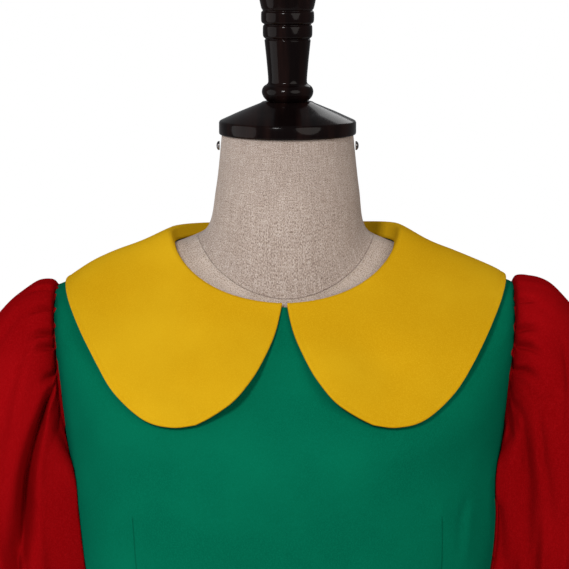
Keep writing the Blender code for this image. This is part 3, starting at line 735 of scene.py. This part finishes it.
GREEN = cloth_material(
    "green_cloth", rgb(0.0012, 0.130, 0.068), rgb(0.0008, 0.100, 0.053), rgb(0.0024, 0.158, 0.088),
    0.00024, 0.60, 0.12, rgb(0.01, 0.60, 0.44), 0.60,
)
YELLOW = cloth_material(
    "yellow_cloth", rgb(0.580, 0.334, 0.0075), rgb(0.512, 0.272, 0.0035),
    rgb(0.620, 0.376, 0.014), 0.00022, 0.18, 0.04, rgb(1.0, 0.70, 0.10), 0.66,
)
RED = cloth_material(
    "red_cloth", rgb(0.255, 0.0018, 0.0032), rgb(0.200, 0.0010, 0.0020),
    rgb(0.330, 0.0050, 0.0070), 0.00024, 0.45, 0.02, rgb(0.9, 0.03, 0.04), 0.66,
)
LINEN = linen_material()
WOOD = wood_material()
STEEL = steel_material()


# The body of the dress.

PANEL_EDGE = [0.0, 0.0015, 0.0032, 0.0055, 0.0090, 0.0150]


def body_rows():
    """Rows of a body panel, and how far its armhole opens: shoulder, armhole, then side seam."""
    crowded = np.concatenate([[0.0, 0.004, 0.010], np.linspace(0.03, 1.0, 20)])
    shoulder = NECKLINE_ROW + (SHOULDER_TIP_ROW - NECKLINE_ROW) * crowded
    turns = np.linspace(0, math.pi, 45)[1:]
    armhole = ARMHOLE_MIDDLE - ARMHOLE_HALF * np.cos(turns)
    lower = np.concatenate([np.linspace(ARMPIT_ROW, HEM_ROW - 0.06, 112)[1:],
                            HEM_ROW - np.array([0.04, 0.02, 0.008, 0.003, 0.0])])
    openings = np.concatenate([0 * shoulder, np.sin(turns), 0 * lower])
    return np.concatenate([shoulder, armhole, lower]), openings


def seam_turn(row, seam_deg):
    """Half a seam's gap as degrees round the ring at each row."""
    angle = math.radians(seam_deg)
    chord = dress_point(row, angle + 0.01) - dress_point(row, angle - 0.01)
    return np.degrees(PANEL_GAP * 0.01 / np.linalg.norm(chord, axis=-1))


def body_relief(row, angle):
    """Soft creases of the body's cloth, fading out where the collar lies on it."""
    from_front = turn_between(np.degrees(angle), -90)
    total = crease_height(BODY_CREASES, row, from_front)
    for middle, top, low in DARTS:
        nip = np.clip(np.minimum((row - top) / 0.5, (low - row) / 0.9), 0, 1)
        turn = turn_between(from_front, middle)
        total -= 0.0014 * nip * bell(turn, 2.6)
        tip = bell(row - top, 0.16) * bell(turn, 2.2)
        total += 0.0008 * tip
    tip = bell(row - SHOULDER_TIP_ROW, 0.14)
    total += SHOULDER_TIP_LIFT * tip * bell(np.abs(from_front) - 90, 14)
    wave = 0.0007 * np.sin(np.radians(from_front) * 5.3 + 0.7 * row) * np.sin(1.9 * row + 0.4)
    return total + wave * eased((row - 6.2) / 1.2)


def dart_line(row, angle, grid):
    """The signed distance to the nearest dart's seam in metres, and how much of it shows."""
    from_front = turn_between(np.degrees(angle), -90)
    radius = np.hypot(grid[..., 0], grid[..., 1])
    nearest = np.full(row.shape, 1.0)
    shown = np.zeros(row.shape)
    for middle, top, low in DARTS:
        away = np.radians(turn_between(from_front, middle)) * radius
        share = np.clip(np.minimum((row - top) / 0.06, (low - row) / 0.10), 0, 1)
        closer = np.abs(away) < np.abs(nearest)
        nearest = np.where(closer, away, nearest)
        shown = np.where(closer, share, shown)
    return nearest, shown


def body_panel(name, first_deg, last_deg, first_open, last_open, crowding, middles):
    rows, openings = body_rows()
    shares = near_edge([share * crowding for share in PANEL_EDGE], middles)
    first = first_deg + seam_turn(rows, first_deg) + openings * first_open
    last = last_deg - seam_turn(rows, last_deg) - openings * last_open
    angle = np.radians(first[:, None] + (last - first)[:, None] * shares)
    row = np.broadcast_to(rows[:, None], angle.shape)
    relief = body_relief(row, angle)
    plain = dress_point(row, angle, CLOTH)
    across = grid_lengths(plain, 1)
    seam = np.minimum(across, across[:, -1:] - across)
    down = grid_lengths(plain, 0)
    to_hem = down[-1:] - down
    dip = 0.00055 * bell(seam, 0.0011)
    round_off = 0.0005 * bell(to_hem, 0.0008)
    hem_step = 0.0003 * np.clip((HEM_DEPTH - to_hem) / 0.003, 0, 1)
    inner = dress_point(row, angle, relief + round_off)
    outer = dress_point(row, angle, CLOTH + relief - dip - round_off + hem_step)
    line, shown = dart_line(row, angle, plain)
    floats = marks(seam, line, shown, to_hem - HEM_STITCH)
    return wall(name, outer, inner, GREEN, grid_uv(plain), floats=floats)


# The collar.


def collar_plan(along, down):
    """Degrees and metres of a collar half laid flat, blended between its four edges."""
    front, back, outer = (
        read_table(table, share * (len(table) - 1))
        for table, share in (
            (COLLAR_FRONT_END, down), (COLLAR_BACK_END, down), (COLLAR_OUTER_EDGE, along)
        )
    )
    neckline = np.stack(
        [front[0, 0] + (back[0, 0] - front[0, 0]) * along, np.zeros(len(along))], axis=-1
    )
    across, fall = along[None, :, None], down[:, None, None]
    sides = (1 - across) * front[:, None] + across * back[:, None]
    ends = (1 - fall) * neckline[None] + fall * outer[None]
    corners = (1 - fall) * ((1 - across) * front[0] + across * back[0]) + fall * (
        (1 - across) * front[-1] + across * back[-1]
    )
    return sides + ends - corners


def rows_from_distances(side, from_front, distance):
    """The body's row at each distance down from the neckline."""
    tops = np.linspace(NECKLINE_ROW - 0.9, ARMPIT_ROW + 1, 300)
    turns = np.linspace(-2, 184, 373)
    top, turn = np.meshgrid(tops, turns)
    lines = grid_lengths(dress_point(top, FRONT + side * np.radians(turn), CLOTH), 1)
    lines -= [[np.interp(NECKLINE_ROW, tops, line)] for line in lines]
    place = (from_front - turns[0]) / (turns[1] - turns[0])
    first = np.clip(np.floor(place).astype(int), 0, len(turns) - 2)
    row = np.zeros(distance.shape)
    for spot in np.ndindex(distance.shape):
        low, high = (np.interp(distance[spot], lines[first[spot] + step], tops) for step in (0, 1))
        row[spot] = low + (high - low) * (place[spot] - first[spot])
    return row


def collar_half(name, side):
    crowd = [0.0, 0.0016, 0.0036, 0.0070, 0.0120]
    along = np.concatenate([crowd, np.linspace(0.019, 0.981, 126), 1 - np.array(crowd[::-1])])
    down = np.concatenate([np.linspace(0, 0.955, 56), [0.968, 0.979, 0.987, 0.993, 0.9965, 1.0]])
    plan = collar_plan(along, down)
    stand = np.linspace(0, 1, 5)[:, None]
    arc = np.linspace(0, math.pi / 2, 8)[1:-1, None]
    extra = len(stand) + len(arc)
    from_front = np.concatenate([np.repeat(plan[:1, :, 0], extra, axis=0), plan[:, :, 0]])
    roll = look_up(COLLAR_ROLL, from_front)
    roll += ROLL_RISE[side] * bell(from_front - 105, 42)
    half = COLLAR_CLOTH / 2
    lying = CLOTH + COLLAR_AIR + half
    crest = roll - half
    upright = -ROLL_RADIUS * np.concatenate([1 + 0 * stand, np.cos(arc)])
    distance = np.concatenate([np.repeat(upright, len(along), axis=1), plan[:, :, 1]])
    settle = bell(distance[extra:], ROLL_SETTLES_IN)
    height = np.concatenate([
        STAND_AIR + (crest[: len(stand)] - ROLL_RADIUS - STAND_AIR) * stand,
        crest[len(stand) : extra] - ROLL_RADIUS * (1 - np.sin(arc)),
        lying + (crest[extra:] - lying) * settle,
    ])
    for middle, out, width, reach, lift in np.array(COLLAR_RELIEF[side]) * (1, MM, 1, MM, MM):
        bump = bell(from_front - middle, width) * bell(distance - out, reach)
        height += lift * bump * np.clip(distance / 0.02, 0, 1)
    angle = FRONT + side * np.radians(from_front)
    row = rows_from_distances(side, from_front, distance)
    middle = dress_point(row, angle, height)
    edge = np.concatenate([middle[extra:, 0], middle[-1], middle[extra:, -1]])
    gap = np.linalg.norm(middle[:, :, None] - edge[None, None], axis=-1).min(axis=-1)
    rounding = np.sqrt(1 - (1 - np.clip(gap / 0.0012, 0.04, 1)) ** 2)
    welt = 0.00018 * bell(gap - 0.0018, 0.0012)
    welt -= 0.00022 * bell(gap - COLLAR_GROOVE, 0.0007)
    outward = side * grid_outward(middle, wrap=False)
    top = middle + outward * (half * rounding + welt)[..., None]
    under = middle - outward * (half * rounding)[..., None]
    # The collar's edges take the material's painted seam shade, a thin dark outline along them.
    floats = marks(gap * 2.5 + 0.0002, gap - COLLAR_GROOVE)
    return wall(name, top, under, YELLOW, grid_uv(middle), floats=floats)


# The sleeves and cuffs.


def body_shell():
    rows = np.linspace(NECKLINE_ROW, HEM_ROW, 200)
    angles = full_turn(240)
    row, angle = np.meshgrid(rows, angles, indexing="ij")
    grid = dress_point(row, angle, CLOTH + body_relief(row, angle))
    points = [tuple(point) for point in grid.reshape(-1, 3)]
    return BVHTree.FromPolygons(points, quads(len(rows), len(angles), wrap=True).tolist())


def hang_against(grid, side, shell):
    """Moves points sideways, in place, to where they clear the body."""
    for point in grid.reshape(-1, 3):
        start = Vector((side * 0.5, point[1], point[2]))
        hit = shell.ray_cast(start, Vector((-side, 0, 0)))[0]
        if hit is not None:
            point[0] = side * max(side * point[0], side * hit.x + SLEEVE_REST_GAP)


def armhole_ring(turn, side, inset):
    front = np.where(np.sin(turn) > 0, ARMHOLE_FRONT_DEG, ARMHOLE_BACK_DEG)
    row = ARMHOLE_MIDDLE - ARMHOLE_HALF * inset * np.cos(turn)
    angle = -np.radians(front * inset) * np.sin(turn)
    points = dress_point(row, angle, CLOTH - 0.0003)
    points[..., 0] *= side
    return points


def gathers(turn, side):
    """An uneven run of small gathers round the sleeve's head or cuff, from -1 to 1."""
    phase = 1.7 if side > 0 else 0.4
    slow = 0.55 * np.sin(2 * turn + phase) + 0.35 * np.sin(5 * turn + 2 * phase)
    main = np.cos(24 * turn + 2.2 * slow)
    fine = np.cos(41 * turn + 3.0 * slow + phase)
    level = 0.75 + 0.25 * np.sin(3 * turn + phase)
    return level * (0.72 * main + 0.36 * fine)


def sleeve_grid(side, columns, sections):
    """The outside of a puff sleeve at these sections, -1 being the armhole."""
    turn = full_turn(columns)
    across, along = np.cos(turn), np.sin(turn)
    rings = [armhole_ring(turn, side, ARMHOLE_INSET)]
    radial = [np.zeros_like(rings[0])]
    for outer_x, outer_z, inner_x, inner_z, middle_y, depth, _, _ in SLEEVE_SECTIONS:
        centre = np.array([(outer_x + inner_x) / 2, middle_y, (outer_z + inner_z) / 2])
        up = np.array([(outer_x - inner_x) / 2, 0, (outer_z - inner_z) / 2])
        forward = np.array([0, -depth, 0])
        fade = min(1.0, (len(SLEEVE_SECTIONS) - len(rings)) / SLEEVE_ROUNDS_IN)
        square = np.where(across < 0, 2 + (SLEEVE_SQUARE[side] - 2) * fade, 2.0)
        reach = (np.abs(across) ** square + np.abs(along) ** square) ** (-1 / square)
        inward = np.clip(-across * reach, 0, 1)
        flatter = 1 - SLEEVE_FLATTER * fade * eased(inward / SLEEVE_FLAT_FROM)
        around = (across * reach)[:, None] * up + (along * reach * flatter)[:, None] * forward
        tuck = np.clip((inward - SLEEVE_TUCK_FROM) / (1 - SLEEVE_TUCK_FROM), 0, 1)
        around[:, 0] -= SLEEVE_TUCK * fade * min(1.0, (len(rings) + 0.4) / 2) * tuck
        outward = across[:, None] * unit(up) + along[:, None] * unit(forward)
        flip = np.array([side, 1, 1])
        rings.append((centre + around) * flip)
        radial.append(outward * flip)
    radial[0] = radial[1]
    place = np.asarray(sections) + 1
    grid, outward = (
        read_table(np.array(table).reshape(len(rings), -1), place).reshape(-1, columns, 3)
        for table in (rings, radial)
    )
    outward = unit(outward)
    section = np.asarray(sections)[:, None]
    turn_deg = np.degrees(turn)
    size = read_table(np.array([(0.0008, 0.0)] + [row[6:] for row in SLEEVE_SECTIONS]), place)
    upper = 0.35 + 0.65 * along**2
    wave = gathers(turn, side)
    swell = size[:, :1] * upper * wave * 0.9 + size[:, 1:] * gathers(turn + 0.5, -side)
    share = np.clip(section / (len(SLEEVE_SECTIONS) - 1), 0, 1)
    for middle, half_width, height in SLEEVE_FOLDS[side]:
        bump = bell(turn_between(turn_deg, middle), half_width)
        swell = swell + height * MM * np.sin(math.pi * share) * bump
    swell = swell + crease_height(SLEEVE_CREASES[side], section, turn_deg)
    hold = np.clip((section + 1) / 0.25, 0, 1)
    grid = grid + outward * (swell * hold)[..., None]
    puff = np.clip((section + 1) / 0.08, 0, 1) * bell(section + 0.86, 0.16)
    lean = puff * (0.25 + np.clip(wave, -0.2, 1)) * upper * SCALLOP
    lean = lean * np.where(along < 0, 0.45, 1.0)
    below = np.clip((turn_deg - SCALLOPS_END) / 12, 0, 1) * (along > 0)
    cover = SEAM_FOLD * np.clip((SEAM_FOLD_END - turn_deg) / 20, 0, 1)
    lean = lean * (1 - below) + puff * below * cover
    grid[..., 0] -= side * lean
    grid[..., 1] -= 2.4 * lean * along
    grid[..., 2] += 0.8 * lean * across
    return grid


def sleeve(name, side, shell):
    sections = np.concatenate(
        [[-1.0, -0.96, -0.90, -0.82], np.linspace(-0.72, 3.0, 46), np.linspace(3.1, 9.3, 56)[1:],
         np.linspace(9.36, 10.0, 10)]
    )
    outer = sleeve_grid(side, 336, sections)
    hang_against(outer[4:], side, shell)
    outward = -side * grid_outward(outer, wrap=True)
    seam = grid_lengths(outer, 0)
    fold_in = 0.0005 * bell(seam, 0.0012)
    inner = outer - 0.0011 * outward
    outer = outer - outward * fold_in[..., None]
    uv = np.zeros(outer.shape[:2] + (2,))
    uv[..., 0] = np.linspace(0, SLEEVE_CUT[0], outer.shape[1])[None]
    uv[..., 1] = -seam.mean(axis=1, keepdims=True)
    floats = marks(np.minimum(seam, seam[-1:] - seam) + 0.0002)
    return wall(name, outer, inner, RED, uv, wrap=True, floats=floats)


def cuff(name, side, columns=192):
    """The band that the sleeve is gathered into, one rounded section swept round."""
    outer_x, top_z, inner_x, _, middle_y, depth, _, _ = SLEEVE_SECTIONS[-1]
    half, high, corner = CUFF_CLOTH / 2, CUFF_HEIGHT / 2, 0.0009
    section = []
    for centre_out, centre_up, start in ((1, 1, 0), (-1, 1, 90), (-1, -1, 180), (1, -1, 270)):
        for step in np.radians(start + np.linspace(0, 90, 5)):
            section.append((centre_out * (half - corner) + corner * math.cos(step),
                            centre_up * (high - corner) + corner * math.sin(step)))
    loop = []
    for (out, up), (next_out, next_up) in zip(section, section[1:] + section[:1]):
        steps = 14 if abs(next_up - up) > 0.01 else 1
        for step in range(steps):
            share = step / steps
            loop.append((out + (next_out - out) * share, up + (next_up - up) * share))
    loop = np.array(loop)
    turn = full_turn(columns)
    centre_x = (outer_x + inner_x) / 2
    width = (outer_x - inner_x) / 2 + CUFF_STEP - half
    deep = depth + CUFF_STEP - half
    uneven = 0.0004 * gathers(turn * 0.5, side) + 0.0003 * np.sin(3 * turn + side)
    out, up = loop.T[:, :, None]
    bulge = 0.0003 * np.cos(math.pi * up / CUFF_HEIGHT) * np.sign(out) * (np.abs(out) > 0.0005)
    reach = out + uneven[None] + bulge
    x = side * (centre_x + (width + reach) * np.cos(turn)[None])
    y = middle_y - (deep + reach) * np.sin(turn)[None]
    z = np.broadcast_to(top_z - SEAM_GAP - high + up, x.shape)
    grid = np.stack([x, y, z], axis=-1)
    cells = quads(len(loop) + 1, columns, wrap=True) % x.size
    points = grid.reshape(-1, 3)
    run = turn[None] / (2 * math.pi) * CUFF_CUT[0]
    uv = np.stack(np.broadcast_arrays(run, up, x)[:2], axis=-1).reshape(-1, 2)
    stitch = np.where(out > 0, high - np.abs(up) - 0.0022, 1.0)
    floats = marks(np.full(x.shape, 1.0), stitch=stitch)
    return add_object(name, points, facing_out(points, cells).tolist(), RED, uv, floats)


# The dress form and its turned pieces.

# The seam at the base of the form's neck: degrees from the centre front, row.
NECK_SEAM = (
    (0, 2.028), (14, 2.028), (26, 2.043), (35, 2.070), (45, 2.107), (52, 2.150), (60, 2.195),
    (75, 2.26), (90, 2.32), (130, 2.36), (180, 2.38),
)


def dress_form(name, columns=160):
    rows = np.concatenate([
        [0.0, 0.008, 0.02, 0.04], np.linspace(0.08, 1.9, 56), np.linspace(1.91, 2.5, 44),
        np.linspace(2.52, NECKLINE_ROW, 14), np.linspace(NECKLINE_ROW, FORM_BASE_ROW - 1, 100)[1:],
        np.linspace(FORM_BASE_ROW - 1, FORM_BASE_ROW, 8)[1:],
    ])
    angle = full_turn(columns)
    row, around = np.meshgrid(rows, angle, indexing="ij")
    grid = ring_point(FORM_RINGS, row, around)
    step = ring_point(FORM_RINGS, row + 0.01, around) - ring_point(FORM_RINGS, row - 0.01, around)
    from_front = np.abs(turn_between(np.degrees(around), -90))
    line = (row - look_up(NECK_SEAM, from_front)) * np.linalg.norm(step, axis=-1) / 0.02
    uv = np.zeros(row.shape + (2,))
    uv[..., 0] = around * 0.060
    uv[..., 1] = -grid_lengths(grid, 0)[:, :1]
    uv = np.concatenate([uv.reshape(-1, 2), np.zeros((2, 2))])
    floats = {"line_m": np.concatenate([line.ravel(), [1.0, 1.0]])}
    return capped(name, grid, grid[[0, -1]].mean(axis=1), LINEN, uv, floats)


def softened(outline, rounds=2):
    """The outline with its corners cut, again and again, into small curves."""
    points = np.asarray(outline, float)
    for _ in range(rounds):
        start, end = points[:-1], points[1:]
        cut = np.stack([start * 0.75 + end * 0.25, start * 0.25 + end * 0.75], axis=1)
        points = np.concatenate([points[:1], cut.reshape(-1, 2), points[-1:]])
    return points


def turned(name, outline, base_z, material, steps=128, centre_x=0.0):
    outline = np.asarray(outline, float)
    turn = full_turn(steps)
    radius, height = outline[outline[:, 0] > 0].T[:, :, None]
    x, y = centre_x + radius * np.cos(turn), radius * np.sin(turn)
    grid = np.stack(np.broadcast_arrays(x, y, base_z + height), axis=-1)
    ends = [(centre_x, 0, base_z + outline[end, 1]) for end in (0, -1)]
    obj = capped(name, grid, ends, material)
    obj.data.set_sharp_from_angle(angle=math.radians(42))
    return obj


def neck_cap_outline():
    radius = NECK_CAP_RIM_RADIUS
    top = NECK_CAP_TOP - NECK_TOP_Z - SEAM_GAP
    rim = NECK_CAP_RIM_HEIGHT
    return (
        (radius - 0.0010, 0.0), (radius - 0.0002, 0.0006), (radius, 0.0016),
        (radius, rim - 0.0014), (radius - 0.0005, rim - 0.0003), (radius - 0.0016, rim + 0.0004),
        (0.0400, rim + (top - rim) * 0.44), (0.0222, top - 0.0014), (0.0205, top - 0.0003),
        (0.0190, top),
    )


def neck_screw(name, side):
    dome = [(SCREW_RADIUS, 0.0), (SCREW_RADIUS, 0.0006)]
    for turn in np.radians(np.linspace(8, 84, 9)):
        dome.append((SCREW_RADIUS * math.cos(turn),
                     0.0006 + (SCREW_HEIGHT - 0.0006) * math.sin(turn)))
    dome.append((0.0, SCREW_HEIGHT))
    screw = turned(name, dome, 0.0, STEEL, steps=48)
    seat = UPPER_RINGS[0][1] + SCREW_SEAT
    screw.rotation_euler = (0, side * math.pi / 2, 0)
    screw.location = (NECK_X + side * seat, 0.0, SCREW_Z)
    return screw


def dress(piece, node):
    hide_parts(node)
    return piece


panel = body_panel("scene_dress_front", -180, 0, ARMHOLE_FRONT_DEG, ARMHOLE_FRONT_DEG, 1, 128)
dress(panel, "dress_front")
for word, first, last, first_open, last_open in (
    ("left", 0, 90, ARMHOLE_BACK_DEG, 0), ("right", 90, 180, 0, ARMHOLE_BACK_DEG)
):
    panel = body_panel(f"scene_dress_back_{word}", first, last, first_open, last_open, 2, 62)
    dress(panel, f"dress_back_{word}")

SHELL = body_shell()
for side, word in ((1, "left"), (-1, "right")):
    piece = dress(collar_half(f"scene_collar_{word}", side), f"collar_{word}")
    piece = dress(sleeve(f"scene_sleeve_{word}", side, SHELL), f"sleeve_{word}")
    piece = dress(cuff(f"scene_cuff_{word}", side), f"cuff_{word}")
    dress(neck_screw(f"scene_neck_screw_{word}", side), f"neck_screw_{word}")

dress(dress_form("scene_form_torso"), "form_torso")
POLE_ENDS = (STAND_OUTLINE[-1][1] + SEAM_GAP, FORM_LOWER_RINGS[-1][3] - SEAM_GAP)
for node, outline, base_z, centre_x in (
    ("neck_cap", neck_cap_outline(), NECK_TOP_Z + SEAM_GAP, NECK_X),
    ("finial", softened(FINIAL_OUTLINE), NECK_CAP_TOP + SEAM_GAP, NECK_X),
    ("stand_foot", softened(STAND_OUTLINE, 1), 0.0, 0.0),
    ("stand_pole", [(POLE_RADIUS, end) for end in POLE_ENDS], 0.0, 0.0),
):
    dress(turned(f"scene_{node}", outline, base_z, WOOD, centre_x=centre_x), node)


# The studio: a pale floor, a white room and soft lights.

FLOOR_SIZE = 2.4
LIGHT_TARGET = Vector((0, 0, 1.25))
CAMERA_TARGET = Vector((0, 0, 1.328))
CAMERA_DISTANCE = 2.225
CAMERA_RISE = math.radians(8.5)
CAMERA_LENS = 171.6


def studio_floor():
    nodes = Nodes("studio_floor")
    cloudy = nodes.noise(3.0, 3.0)
    colour = nodes.tint(rgb(0.78, 0.78, 0.78), (rgb(0.82, 0.82, 0.81), cloudy, 0.3, 0.7, 0, 1))
    corners = [(x * FLOOR_SIZE, y * FLOOR_SIZE, 0) for x, y in ((-1, -1), (1, -1), (1, 1), (-1, 1))]
    mesh = bpy.data.meshes.new("studio_floor")
    mesh.from_pydata(corners, [], [(0, 1, 2, 3)])
    mesh.materials.append(nodes.finish(colour, 0.85))
    place_object("studio_floor", mesh)


def area_light(name, azimuth, elevation, distance, width, height, power, colour=(1, 1, 1)):
    """A soft light aimed at the dress. Azimuth 0 is in front of it, and above 0 to its left."""
    turn, rise = math.radians(azimuth), math.radians(elevation)
    way = Vector((math.sin(turn) * math.cos(rise), -math.cos(turn) * math.cos(rise), math.sin(rise)))
    data = bpy.data.lights.new(name, "AREA")
    data.shape = "ELLIPSE"
    data.size, data.size_y = width, height
    data.energy = power
    data.color = colour
    lamp = place_object(name, data)
    lamp.location = LIGHT_TARGET + way * distance
    lamp.rotation_euler = (-way).to_track_quat("-Z", "Y").to_euler()


def world():
    """A white backdrop for the camera and a dimmer room for the light."""
    made = bpy.data.worlds.new("studio")
    made.use_nodes = True
    tree = made.node_tree
    tree.nodes.clear()
    output, mix, path, room, white = (
        tree.nodes.new("ShaderNode" + kind)
        for kind in ("OutputWorld", "MixShader", "LightPath", "Background", "Background")
    )
    for light, colour, strength in ((room, rgb(0.92, 0.96, 1.0), 0.22), (white, rgb(1, 1, 1), 1.0)):
        light.inputs["Color"].default_value = colour
        light.inputs["Strength"].default_value = strength
    sockets = (path.outputs["Is Camera Ray"], room.outputs[0], white.outputs[0])
    for index, socket in enumerate(sockets):
        tree.links.new(socket, mix.inputs[index])
    tree.links.new(mix.outputs[0], output.inputs["Surface"])
    bpy.context.scene.world = made


studio_floor()
world()
area_light("key", -20, 29, 2.9, 0.55, 0.65, 50)
area_light("fill", 36, 20, 3.1, 2.3, 2.4, 44, (1.0, 0.94, 0.88))
area_light("side", -80, 6, 2.6, 2.6, 2.8, 34)
area_light("back", 165, 30, 3.0, 1.6, 1.2, 10)

scene = bpy.context.scene
scene.view_settings.view_transform = "Standard"
scene.view_settings.look = "None"

camera = place_object("camera", bpy.data.cameras.new("camera"))
camera.data.lens = CAMERA_LENS
camera.data.sensor_width = 36
camera.location = CAMERA_TARGET + CAMERA_DISTANCE * Vector(
    (0, -math.cos(CAMERA_RISE), math.sin(CAMERA_RISE))
)
camera.rotation_euler = (math.pi / 2 - CAMERA_RISE, 0, 0)
scene.camera = camera
